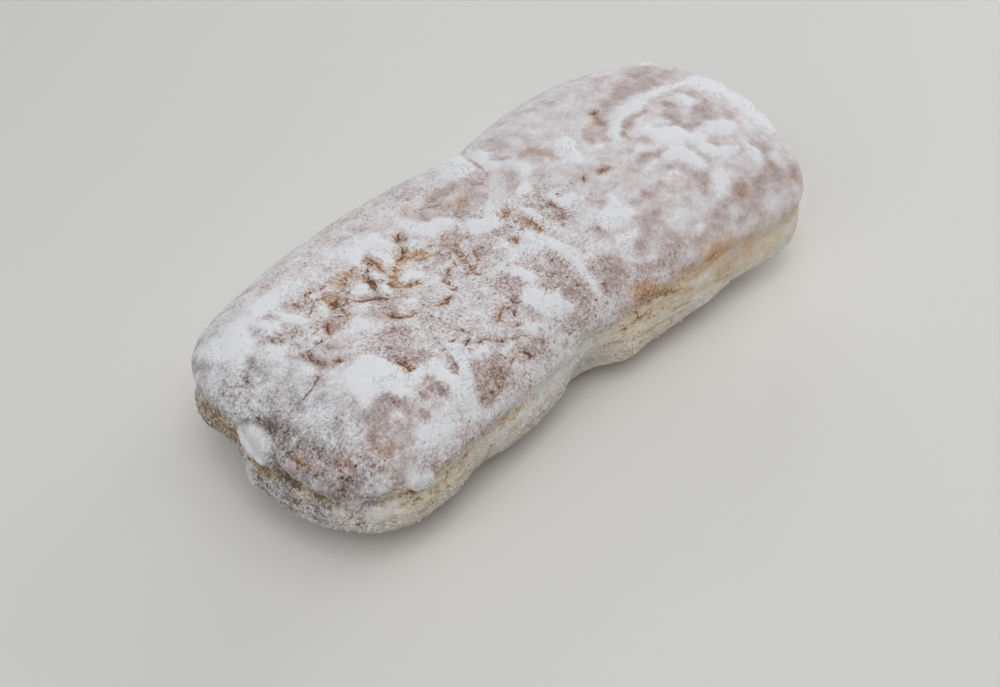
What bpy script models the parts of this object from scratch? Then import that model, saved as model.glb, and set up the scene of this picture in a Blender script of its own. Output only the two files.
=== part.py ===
"""Powdered long john: one long, flat doughnut of raised dough, as one closed solid.

Metres, +Z up. +X runs along the doughnut, from its near end to its far end, +Y is its
left side, and the origin is in the middle of its footprint, on the surface that it rests
on. The solid carries the main forms: two puffed lobes with a waist between them, a flat
base, the edge of the browned top crust over a paler band, the sunken valley along the
top, and the folds, dents and tucks of the sides and ends.
"""
import bmesh
import bpy
import numpy as np
from mathutils import Vector, noise

# The sizes below are in millimetres, and the mesh is scaled to metres when it is made.
MM = 0.001

# Overall size.
LENGTH = 174.6
WIDEST_LEVEL = 17.3
UNDERSIDE_DEPTH = 18.8
PLAN_SQUARENESS_NEAR = 3.6
PLAN_SQUARENESS_FAR = 2.8
SECTION_SQUARENESS = 2.9

# Half-width and centreline at stations along the doughnut, -1 at the near end and 1 at
# the far end, and the rise of the top above the widest level at stations of its own.
SIDE_STATIONS = (-1.0, -0.75, -0.4, 0.0, 0.15, 0.45, 0.75, 1.0)
HALF_WIDTHS = (40.6, 38.6, 36.2, 36.2, 36.9, 40.0, 45.3, 34.9)
CENTRELINE = (0.1, 2.2, 5.4, 3.6, 1.0, 0.5, -2.1, 6.7)
TOP_STATIONS = (-1.0, -0.5, 0.0, 0.5, 1.0)
TOP_RISES = (25.5, 19.3, 19.8, 22.3, 29.6)

# Faces along X, Y and Z of the box that is rounded into the doughnut.
DIVISIONS = (62, 24, 16)

# The edge of the browned crust: its level, the places where it climbs (+) or drops (-)
# as centre, reach and height, how far the crust stands out over the pale band below it,
# how much further it rolls out over the near end, and the half-height of that step.
CRUST_EDGE_LEVEL = 23.3
CRUST_EDGE_RISES = (
    ((-87.0, 14.0), 14.0, 3.0),
    ((-85.0, -22.0), 9.0, -2.6),
    ((-60.0, -33.0), 11.0, -2.2),
    ((-37.0, -32.0), 14.0, -2.4),
    ((-22.0, -32.0), 9.0, -2.2),
    ((-4.0, -34.0), 5.0, -2.5),
    ((18.0, -37.0), 10.0, 2.2),
    ((42.0, -40.0), 8.0, -1.6),
    ((62.0, 36.0), 20.0, 1.6),
    ((-30.0, 42.0), 18.0, -1.8),
)
CRUST_OVERHANG = 0.8
NEAR_END_ROLL = 0.9
NEAR_END_ROLL_FROM = -64.0
NEAR_END_ROLL_FULL = -78.0
CRUST_EDGE_HALF_HEIGHT = 2.3

# Swellings (+) and dents (-) as centre, reach along X, Y and Z, and height.
SWELLINGS = {
    "corner of the near end, right": ((-70.0, -27.0, 15.0), (14.0, 9.0, 8.0), 1.2),
    "puff of the near lobe, right": ((-42.0, -17.0, 38.0), (32.0, 9.0, 16.0), 1.3),
    "puff of the near lobe, left": ((-48.0, 28.0, 35.0), (26.0, 8.0, 14.0), 0.8),
    "dome of the far lobe": ((50.0, -8.0, 40.0), (24.0, 16.0, 14.0), 0.9),
    "shoulder of the far lobe": ((40.0, -30.0, 32.0), (26.0, 8.0, 10.0), 0.5),
    "dimple of the far lobe": ((40.5, 10.5, 40.0), (5.0, 4.0, 8.0), -1.0),
    "dent in the near end": ((-87.5, 3.5, 25.5), (5.0, 5.0, 3.6), -2.4),
    "tuck under the near end": ((-87.0, 13.5, 12.0), (11.0, 8.0, 5.5), -6.5),
    "heel of the near end": ((-86.0, -4.0, 11.0), (8.0, 11.0, 5.0), 1.5),
    "heel of the far lobe": ((0.5, -35.0, 8.0), (6.0, 8.0, 7.0), 2.9),
    "tuck under the far lobe, right": ((21.0, -38.0, 9.0), (8.0, 8.0, 7.0), -0.8),
    "tuck under the near lobe": ((-50.0, -33.0, 8.0), (6.0, 8.0, 6.0), -1.3),
    "side of the near lobe, right": ((-34.0, -33.0, 10.0), (9.0, 8.0, 8.0), 1.1),
    "tuck under the waist": ((-11.0, -33.5, 9.0), (7.5, 8.0, 7.0), -4.6),
    "tuck under the far lobe, left": ((52.0, 38.0, 9.0), (15.0, 8.0, 6.0), -1.8),
    "corner of the far end, right": ((74.0, -33.0, 15.0), (7.0, 7.0, 9.0), 1.7),
    "dent in the far end": ((88.0, 4.0, 13.0), (7.0, 11.0, 4.0), -1.4),
}

# Creases as a path seen from above, half-width and depth. They lie on the top crust.
CREASES = {
    "valley along the near lobe": (
        ((-76.0, 6.0), (-60.0, 10.0), (-44.0, 11.0), (-28.0, 7.0), (-12.0, -1.0), (4.0, -6.0)),
        8.5, 2.2),
    "outer fold of the waist, right": (
        ((-4.0, -8.0), (0.0, -13.0), (2.0, -20.0), (1.0, -28.0), (-4.0, -36.0)), 2.6, 1.3),
    "inner fold of the waist, right": (
        ((-12.0, -11.0), (-9.0, -17.0), (-9.0, -24.0), (-13.0, -32.0)), 2.4, 0.7),
    "outer fold of the waist, left": (
        ((15.0, 37.0), (11.0, 28.0), (6.0, 18.0), (3.0, 13.0)), 2.6, 1.1),
    "inner fold of the waist, left": (
        ((4.0, 38.0), (0.0, 29.0), (-2.0, 22.0)), 2.4, 0.6),
    "step across the far lobe": (
        ((33.0, 2.0), (42.0, 9.0), (56.0, 10.0), (74.0, 6.0)), 3.6, 0.9),
}

# Low unevenness of the dough as wavelength and height.
UNEVENNESS = ((27.0, 0.8), (11.0, 0.45))

# Relief fades out towards the flat base over this height.
BASE_FADE = 6.0

CRUST_COLOUR = (0.56, 0.50, 0.48, 1.0)
CRUST_ROUGHNESS = 0.85


def smooth_curve(stations, values, at):
    """Height of the smooth curve through the stations, by cubic pieces."""
    stations = np.asarray(stations)
    values = np.asarray(values)
    slopes = np.gradient(values, stations)
    left = np.clip(np.searchsorted(stations, at, side="right") - 1, 0, len(stations) - 2)
    span = stations[left + 1] - stations[left]
    t = np.clip((at - stations[left]) / span, 0.0, 1.0)
    start = (1 + 2 * t) * (1 - t) ** 2 * values[left] + t * (1 - t) ** 2 * span * slopes[left]
    end = t * t * (3 - 2 * t) * values[left + 1] + t * t * (t - 1) * span * slopes[left + 1]
    return start + end


def smooth_step(low, high, value):
    t = np.clip((value - low) / (high - low), 0.0, 1.0)
    return t * t * (3 - 2 * t)


def rounded_body(box_points):
    """Places of the points of a box from -1 to 1, rounded into the plain body."""
    x, y, z = np.abs(box_points).T
    squareness = np.where(box_points[:, 0] < 0, PLAN_SQUARENESS_NEAR, PLAN_SQUARENESS_FAR)
    plan = (x ** squareness + y ** squareness) ** (1 / squareness)
    reach = (plan ** SECTION_SQUARENESS + z ** SECTION_SQUARENESS) ** (1 / SECTION_SQUARENESS)
    along, across, up = (box_points / reach[:, None]).T
    half_width = smooth_curve(SIDE_STATIONS, HALF_WIDTHS, along)
    centre = smooth_curve(SIDE_STATIONS, CENTRELINE, along)
    rise = smooth_curve(TOP_STATIONS, TOP_RISES, along)
    level = WIDEST_LEVEL + np.where(up > 0, up * rise, up * UNDERSIDE_DEPTH)
    return np.stack([along * LENGTH / 2, centre + across * half_width, level], axis=1)


def swelling(points, centre, reach):
    """1 at the centre, falling smoothly to 0 past the reach."""
    away = (points - np.array(centre)) / np.array(reach)
    return np.exp(-(away ** 2).sum(axis=1))


def distance_to_path(points, path):
    """Distance, seen from above, to a path of straight pieces."""
    nearest = np.full(len(points), np.inf)
    for start, end in zip(path[:-1], path[1:]):
        start = np.array(start)
        step = np.array(end) - start
        share = np.clip(((points[:, :2] - start) @ step) / (step @ step), 0.0, 1.0)
        away = points[:, :2] - start - share[:, None] * step
        nearest = np.minimum(nearest, np.hypot(away[:, 0], away[:, 1]))
    return nearest


def crust_edge_level(points):
    level = np.full(len(points), CRUST_EDGE_LEVEL)
    for centre, reach, height in CRUST_EDGE_RISES:
        away = (points[:, :2] - np.array(centre)) / reach
        level += height * np.exp(-(away ** 2).sum(axis=1))
    return level


def crust_edge_relief(points):
    """The crust stands out just above its edge, and the pale band lies back below it."""
    above = (points[:, 2] - crust_edge_level(points)) / CRUST_EDGE_HALF_HEIGHT
    roll = NEAR_END_ROLL * smooth_step(NEAR_END_ROLL_FROM, NEAR_END_ROLL_FULL, points[:, 0])
    return (CRUST_OVERHANG + roll) * above * np.exp(0.5 - above ** 2 / 2)


def unevenness(points):
    relief = np.zeros(len(points))
    for wavelength, height in UNEVENNESS:
        relief += height * np.array([noise.noise(Vector(point / wavelength)) for point in points])
    return relief


def relief(points):
    """Height of all the relief above the plain body, at points on it."""
    height = crust_edge_relief(points) + unevenness(points)
    for centre, reach, swell in SWELLINGS.values():
        height += swell * swelling(points, centre, reach)
    on_top = smooth_step(WIDEST_LEVEL, WIDEST_LEVEL + 8.0, points[:, 2])
    for path, half_width, depth in CREASES.values():
        height -= depth * on_top * np.exp(-(distance_to_path(points, path) / half_width) ** 2)
    return height * smooth_step(0.0, BASE_FADE, points[:, 2])


def divided_box(divisions):
    """A box from -1 to 1 with its faces divided into a grid along each axis."""
    mesh = bmesh.new()
    bmesh.ops.create_cube(mesh, size=2.0)
    for axis, count in enumerate(divisions):
        lengthwise = [
            edge for edge in mesh.edges
            if abs(edge.verts[0].co[axis] - edge.verts[1].co[axis]) > 1.0
        ]
        bmesh.ops.subdivide_edges(mesh, edges=lengthwise, cuts=count - 1, use_grid_fill=True)
    return mesh


def place(mesh, points):
    for vertex, point in zip(mesh.verts, points):
        vertex.co = point
    mesh.normal_update()


def shape_doughnut(mesh):
    """Rounds the box into the body, adds its relief and rests it flat on the origin."""
    body = rounded_body(np.array([vertex.co for vertex in mesh.verts]))
    place(mesh, body)
    outward = np.array([vertex.normal for vertex in mesh.verts])
    points = body + outward * relief(body)[:, None]
    points[:, 2] = np.maximum(points[:, 2], 0.0)
    points[:, :2] -= (points[:, :2].min(axis=0) + points[:, :2].max(axis=0)) / 2
    place(mesh, points * MM)


def crust_material():
    """Browned crust under powdered sugar."""
    material = bpy.data.materials.new("powdered_crust")
    material.use_nodes = True
    shader = material.node_tree.nodes["Principled BSDF"]
    shader.inputs["Base Color"].default_value = CRUST_COLOUR
    shader.inputs["Roughness"].default_value = CRUST_ROUGHNESS
    shader.inputs["Metallic"].default_value = 0.0
    return material


def add_doughnut():
    mesh = divided_box(DIVISIONS)
    shape_doughnut(mesh)
    data = bpy.data.meshes.new("doughnut")
    mesh.to_mesh(data)
    mesh.free()
    data.shade_smooth()
    data.materials.append(crust_material())
    bpy.context.scene.collection.objects.link(bpy.data.objects.new("doughnut", data))


for old in list(bpy.data.objects):
    bpy.data.objects.remove(old)
add_doughnut()
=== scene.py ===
"""Looks of the powdered long john: its crust, its caked and loose sugar, and its crumbs.

Places and sizes are in millimetres, in the frame's own axes: +X runs to the far end, +Y to
the left side and +Z up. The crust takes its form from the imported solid, and fine relief,
sugar and colour are worked out on it.
"""
import math
from types import SimpleNamespace

import bmesh
import bpy
import numpy as np
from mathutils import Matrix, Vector, noise


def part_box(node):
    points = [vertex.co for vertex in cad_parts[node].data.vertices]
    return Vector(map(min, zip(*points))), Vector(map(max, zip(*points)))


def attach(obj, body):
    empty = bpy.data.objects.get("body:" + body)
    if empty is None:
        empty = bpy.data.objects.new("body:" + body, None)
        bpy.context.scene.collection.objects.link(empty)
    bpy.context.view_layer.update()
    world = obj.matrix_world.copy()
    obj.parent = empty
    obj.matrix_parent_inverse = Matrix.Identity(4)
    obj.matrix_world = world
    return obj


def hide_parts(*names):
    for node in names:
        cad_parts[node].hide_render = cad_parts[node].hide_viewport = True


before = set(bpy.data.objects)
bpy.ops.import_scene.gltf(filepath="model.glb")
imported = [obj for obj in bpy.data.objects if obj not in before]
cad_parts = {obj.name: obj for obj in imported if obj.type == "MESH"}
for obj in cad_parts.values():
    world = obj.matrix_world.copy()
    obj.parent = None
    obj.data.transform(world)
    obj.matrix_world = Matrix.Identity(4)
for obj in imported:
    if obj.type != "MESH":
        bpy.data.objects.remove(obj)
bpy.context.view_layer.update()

MM = 0.001
NODE = "doughnut"
BODY = "root"

# Camera: where it stands, how far it turns from +Y towards +X, how far it looks down, and
# its lens on the default sensor of 36 mm.
CAMERA_PLACE = (-202.3, -166.7, 234.5)
CAMERA_TURN = math.radians(49.31)
CAMERA_DIP = math.radians(42.6)
CAMERA_LENS = 49.82

# Soft lights, all at one distance in metres: turn from +X and height, both in degrees, size
# in metres, power in watts and colour.
LIGHT_DISTANCE = 1.1
WHITE_LIGHT = (0.985, 0.99, 1.0)
COOL_LIGHT = (0.94, 0.97, 1.0)
SOFT_LIGHTS = {
    "light_over_the_camera": (225, 65, 0.7, 3.2, WHITE_LIGHT),
    "light_by_the_near_end": (180, 40, 0.7, 1.9, WHITE_LIGHT),
    "low_light_behind": (0, 15, 0.7, 3.85, WHITE_LIGHT),
    "low_light_behind_left": (45, 15, 0.7, 2.0, COOL_LIGHT),
    "light_above": (0, 89, 0.7, 1.2, WHITE_LIGHT),
    "light_on_the_right": (315, 65, 0.7, 0.8, WHITE_LIGHT),
}

# The fold where the crust rolls out over the side: its level, and the places where it
# climbs (+) or drops (-) as centre, reach and height.
FOLD_LEVEL = 21.6
FOLD_RISES = (
    ((-87, 14), 14, 3),
    ((-85, -22), 9, -2.6),
    ((-60, -33), 11, -2.2),
    ((-37, -32), 14, -2.4),
    ((-22, -32), 9, -2.2),
    ((-4, -34), 5, -2.5),
    ((18, -37), 10, 2.2),
    ((42, -40), 8, -1.6),
    ((62, 36), 20, 1.6),
    ((-30, 42), 18, -1.8),
)

# Where the brown ends above that fold, in the same form: the fold's level and these rises.
BROWN_END_RISES = (
    ((-74, -30), 8, 3.2),
    ((-82, -24), 4, 2.4),
    ((-62, -32), 6, 1.6),
    ((-2, -32), 6, 1),
    ((14, -36), 12, 0.6),
    ((36, -38), 9, 2.2),
    ((56, -40), 10, 2),
)

# Thick sugar on the top, seen from above: the corners of its outline, how soft its edge is
# and how much lies there.
WHITE_PATCHES = (
    (((-66, -6), (-60.2, -6.2), (-58.8, -7.5), (-58.4, -9.5), (-57.3, -11.5), (-56.9, -13.5),
      (-57.4, -15.8), (-59.2, -16.8), (-60, -18.8), (-60.4, -21), (-62.4, -19.8), (-63.4, -17.9),
      (-64.2, -16), (-66.5, -15.7), (-68.8, -15.6), (-68.4, -12.8), (-68.2, -10.4),
      (-67.2, -8.2)), 0.8, 1.0),
    (((-58.8, -17.2), (-56.6, -16.8), (-54.9, -17.4), (-55.2, -19), (-57, -20),
      (-58.8, -19.8)), 0.8, 0.95),
    (((-52.4, -18.2), (-50.5, -17.4), (-50, -19.9), (-50.2, -22.5), (-49.2, -23.6), (-47.3, -22.6),
      (-46.5, -20), (-45.4, -17.6), (-44.1, -16.1), (-43.8, -20.3), (-44.9, -22.4), (-46.1, -24.3),
      (-48, -26.8), (-49, -30), (-53.3, -30.5), (-54, -28.6), (-52.7, -26.1), (-52.4, -24.3),
      (-53.3, -22.4), (-53.4, -20.3)), 0.8, 1.0),
    (((-76, 15), (-76, 19), (-74, 20), (-72, 20), (-70, 18), (-70.4, 16), (-72, 15.2)), 1.6, 0.6),
    (((-70.4, 13.5), (-69, 13.8), (-68, 12.5), (-67.8, 11), (-68.4, 9.6), (-69.8, 9.8)), 0.8, 0.85),
    (((-67.5, 19.2), (-65.5, 18.8), (-64.8, 17.6), (-63.5, 16.8), (-63, 15.4), (-65, 14.6),
      (-67, 15.5)), 1.0, 0.6),
    (((-62, 19.5), (-61, 17.5), (-60.5, 16), (-59, 14.6), (-58, 13.2), (-58.2, 11.8), (-59.8, 11.5),
      (-61.5, 13), (-62.3, 15), (-62.5, 17.5)), 0.9, 0.9),
    (((-78, 26), (-70, 25), (-60, 25), (-50, 23.5), (-51, 20.5), (-56, 20), (-60, 20.5), (-66, 20.6),
      (-72, 20.5), (-78, 21)), 2.0, 0.7),
    (((-69.9, 8), (-68.4, 6.5), (-67.9, 4), (-68, 0), (-69.4, -1), (-70.2, 4)), 1.2, 0.6),
    (((-79.5, -6), (-75, -5.5), (-74.5, -12), (-79, -13.5)), 2.0, 0.5),
    (((-69, -28.5), (-66, -26.8), (-60, -26.8), (-56, -26), (-54, -27.5), (-55, -31),
      (-68, -31)), 1.2, 0.8),
    (((-67, -21.4), (-65.6, -21.2), (-65.2, -24), (-66.6, -24.2)), 0.8, 0.75),
    (((-76.5, -22), (-74.8, -22), (-75, -26), (-76.6, -25)), 1.0, 0.6),
    (((-80, -15), (-76, -16.5), (-76.5, -20), (-79.5, -19)), 1.5, 0.4),
    (((-54.6, 13.4), (-52.6, 14), (-52, 12.6), (-53.5, 12), (-55.2, 12.4)), 0.7, 0.7),
    (((-45.2, 12.2), (-42.6, 12.6), (-41.4, 11.2), (-42.4, 9.6), (-44.4, 9.9)), 0.7, 0.8),
    (((-49.6, 8), (-46.4, 8.2), (-45.2, 6.6), (-46.2, 5.2), (-49, 5.4)), 1.0, 0.75),
    (((-40, 9.4), (-38.4, 9.6), (-37.9, 7.6), (-39.4, 5), (-40.6, 6.2)), 0.7, 0.85),
    (((-38.4, 13.6), (-37, 13.4), (-36.6, 11.4), (-37.6, 10.2), (-38.4, 11.2)), 0.6, 0.85),
    (((-35.8, 6.6), (-33.6, 7.6), (-31, 7.4), (-29.6, 5), (-30.4, 2.6), (-33.4, 4.6),
      (-35, 5)), 0.8, 0.9),
    (((-33.6, 12.4), (-31.4, 12.8), (-30.6, 15.4), (-31.2, 18), (-33.2, 18.4), (-33.9, 15.5)), 0.8, 0.75),
    (((-40.4, 23.6), (-36, 25), (-31, 24), (-27.4, 21.5), (-27.6, 18.2), (-29.2, 15.4), (-31, 18.6),
      (-33.4, 19.6), (-36, 18.6), (-38.2, 17.4), (-39.2, 19)), 1.4, 0.95),
    (((-56.8, 4), (-51, 3.6), (-50.6, 0.4), (-56, 0)), 1.6, 0.6),
    (((-41.6, -0.4), (-39, -0.2), (-38.8, -3), (-41, -3.2)), 1.0, 0.6),
    (((-44.9, -4.9), (-43.9, -5.2), (-44.1, -8), (-45.2, -7.6)), 0.7, 0.5),
    (((-47.4, -8.6), (-44.6, -8.8), (-44.8, -12), (-47, -12)), 1.2, 0.45),
    (((-43.6, -21), (-39.4, -21.4), (-38.8, -23), (-42.6, -23.4)), 1.0, 0.6),
    (((-35.2, -14), (-32.6, -14.2), (-32.4, -17), (-34.8, -17.2)), 1.0, 0.6),
    (((-34.4, -8.8), (-30, -8.6), (-29.6, -11), (-33.6, -11)), 1.2, 0.55),
    (((-36.6, -24), (-33, -24.6), (-32.8, -25.8), (-36, -25.6)), 0.7, 0.7),
    (((-36, -28), (-31, -28.2), (-31, -29.4), (-36, -29.4)), 0.8, 0.6),
    (((-22, 18), (-20.6, 19.6), (-19, 17.5), (-18.2, 15.5), (-16.5, 14.5), (-14, 13.5), (-12.8, 12),
      (-13, 10.2), (-15.5, 10.6), (-17.5, 10.8), (-20.5, 11.5), (-21.6, 12.6), (-22.2, 15)), 1.2, 0.9),
    (((-25.4, 14), (-23.4, 14.6), (-22.6, 12.4), (-24.6, 11.6)), 0.8, 0.5),
    (((-12.4, 7), (-10.5, 8), (-8.3, 6), (-6.6, 6.4), (-5.5, 4.6), (-5.3, 2.5), (-6.5, 1.2), (-7.6, 1.9),
      (-9.6, 2), (-10.5, 2.6), (-12.5, 4), (-13, 5.6)), 0.9, 0.95),
    (((-29.4, 8.2), (-27, 7.6), (-25.2, 7.2), (-26, 6.4), (-28.6, 6.6)), 0.7, 0.7),
    (((-31.8, 1.4), (-29.6, 1.8), (-29, 0), (-31, -0.6)), 1.0, 0.55),
    (((-20, -8), (-14, -7.8), (-12, -7.6), (-12.4, -9.2), (-16, -9.4), (-20, -9.3)), 0.8, 0.8),
    (((-13.4, -3.2), (-10, -1.4), (-9.8, -5.8), (-12.6, -4.4)), 1.0, 0.6),
    (((-12.4, -6.4), (-6, -5.8), (-2, -6.2), (-1.6, -12), (-2, -19.4), (-4, -19.7), (-5.6, -18.3),
      (-5.8, -15.5), (-6.2, -12), (-7.6, -10), (-11.4, -9)), 1.3, 0.8),
    (((-6.2, -20), (-4.8, -19.5), (-3.8, -21), (-4.2, -23), (-5, -25), (-5.4, -28.6), (-6.9, -28.4),
      (-6.6, -24.5), (-6.4, -22)), 0.9, 0.7),
    (((-22.6, -18.5), (-19, -18), (-17.6, -19.5), (-18, -21), (-16, -22.3), (-14.5, -22.8),
      (-14.2, -25.8), (-16, -26.3), (-18.5, -26.6), (-21, -25), (-22.5, -22.5),
      (-23.3, -20.5)), 1.0, 0.9),
    (((-18.8, -10.8), (-16.8, -11), (-15.9, -13), (-15.8, -16), (-16.4, -17.5), (-18.3, -18),
      (-18.9, -14)), 0.8, 0.9),
    (((-27.5, -24), (-23.2, -24.6), (-23.4, -27), (-27, -26.2)), 1.0, 0.65),
    (((2, 32.5), (12.8, 31.8), (9.6, 27), (8.2, 23), (7.4, 21.4), (4, 20.8), (0.4, 21.5), (-1, 24),
      (0, 27.5), (1.2, 30)), 1.2, 1.0),
    (((14.8, 31.5), (12.9, 28.6), (13.4, 26), (12.8, 23), (11.6, 21), (11.6, 17), (8.6, 15.6),
      (7.9, 18.5), (9, 22), (10.6, 26.4), (12.4, 29.4)), 1.0, 0.95),
    (((10.5, 12.5), (13.5, 13.5), (14.2, 11), (14, 8.5), (11.5, 7.5), (9.2, 7.5), (9.8, 10)), 1.4, 0.6),
    (((20.8, 5.5), (21.5, 7.5), (23.8, 9.5), (26.5, 10.7), (28.6, 9.8), (28, 6.4), (26, 4), (24.3, 2.5),
      (23, 1), (20.5, 2.2), (19.6, 4)), 1.4, 0.9),
    (((3.5, 5.8), (8, 5.5), (8.5, 4), (6, 3.2), (3.8, 3.8)), 0.8, 0.8),
    (((-0.2, 1.8), (1.4, 1.2), (2.3, -0.6), (2.6, -4.2), (1.1, -4.4), (0.5, -1.4)), 0.6, 0.85),
    (((8.4, 0.6), (10, 0), (10.2, -3), (12.4, -3.6), (13, -5.2), (12.4, -8), (9.5, -6.8),
      (8.2, -5.2)), 0.9, 0.9),
    (((14.5, -14), (17, -12.5), (17, -15), (15.8, -18), (17.3, -20.5), (14.8, -20), (12.4, -20.5),
      (10, -19.8), (7.8, -18.3), (9, -16), (9.8, -14.5), (12, -14.4)), 1.1, 0.95),
    (((6, -25.3), (5.8, -23), (8.5, -21.8), (10.5, -23.5), (13.8, -23), (13, -24.5), (9.5, -25.5),
      (7.8, -26.2)), 0.9, 0.85),
    (((24.5, -32), (28.6, -31.5), (29, -33.4), (25.5, -33.8)), 0.9, 0.8),
    (((20, -26), (22.5, -26.5), (27, -27), (26.5, -30), (23, -29.5), (21, -28)), 1.4, 0.5),
    (((9.8, -29.8), (11.6, -29.8), (11.2, -31.2), (10, -31)), 0.6, 0.7),
    (((37.4, 3.6), (39, 5), (41.5, 6.5), (44, 8), (48, 8.3), (54, 8.3), (57, 7), (62, 6), (66, 4.4),
      (72, 3.4), (72, 1.2), (66, 2), (61, 3.2), (57, 4), (54, 3.8), (50, 3.5), (47.5, 4.2), (43.5, 4.5),
      (40.4, 2.6), (38, 0.6), (36.6, -2), (34.6, -1), (36, 1.6)), 1.0, 1.0),
    (((42, -4), (44, -3.6), (45.5, -5), (46, -7.4), (49.5, -8.5), (50.2, -10), (50, -12), (49, -13.5),
      (46.5, -14), (44, -13.7), (42.4, -12.5), (41, -10), (41.6, -7)), 1.1, 1.0),
    (((38.5, -13), (41.5, -12.8), (43.5, -14), (43.2, -16.5), (43.2, -20), (42.8, -23.4), (41, -23.2),
      (39.8, -20), (39, -17), (37.2, -15.5), (37, -14)), 1.0, 0.95),
    (((46.8, -14.2), (50.5, -14.1), (52.5, -16.2), (51.5, -18), (49.5, -18.6), (50.2, -20.6), (52, -22.6),
      (53.6, -24.8), (51.5, -25.6), (49.5, -24.5), (47.2, -21.8), (45.6, -19.8), (46.2, -17)), 1.0, 0.95),
    (((53.5, -14.4), (57, -14.6), (61, -15.4), (61, -19), (56, -20.4), (53.6, -18)), 1.4, 0.75),
    (((30.5, -13.5), (32, -14.6), (35, -14), (34.4, -12.6), (32.5, -12.8)), 1.0, 0.6),
    (((31, -18.6), (33, -19.6), (36, -19), (34.5, -17.4)), 1.0, 0.6),
    (((40.8, -26.4), (43.4, -25.6), (44.2, -27.4), (43, -30), (40, -31), (38.2, -30),
      (39.4, -28)), 1.2, 0.75),
    (((53.8, -27), (56, -25.5), (57, -27), (56.4, -29.5), (54, -30)), 1.2, 0.75),
    (((37, -34), (41, -33.6), (42, -35.6), (38, -35.8)), 0.9, 0.7),
    (((59, -4.4), (60, -1.5), (62.4, 0.8), (63.2, -2), (62.4, -5.3), (59.5, -5.6)), 1.0, 0.85),
    (((72, 3), (82, 4), (84, -6), (78, -20), (70, -27), (66, -22), (69, -14), (70, -8),
      (69.5, -2)), 2.5, 0.85),
    (((33, -8), (36.5, -6.4), (38.5, -8), (40, -10), (38.4, -11), (36.5, -9)), 1.0, 0.6),
    (((30, 2), (32.5, 2.6), (33.2, 1.2), (31, 0.4)), 0.8, 0.6),
    (((43.5, -0.8), (46.5, -0.2), (48.5, -1.6), (48.6, -3.6), (45, -3.6)), 1.2, 0.5),
    (((70, 26), (78, 22), (80, 16), (74, 17), (71, 20)), 2.0, 0.4),
)

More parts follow.
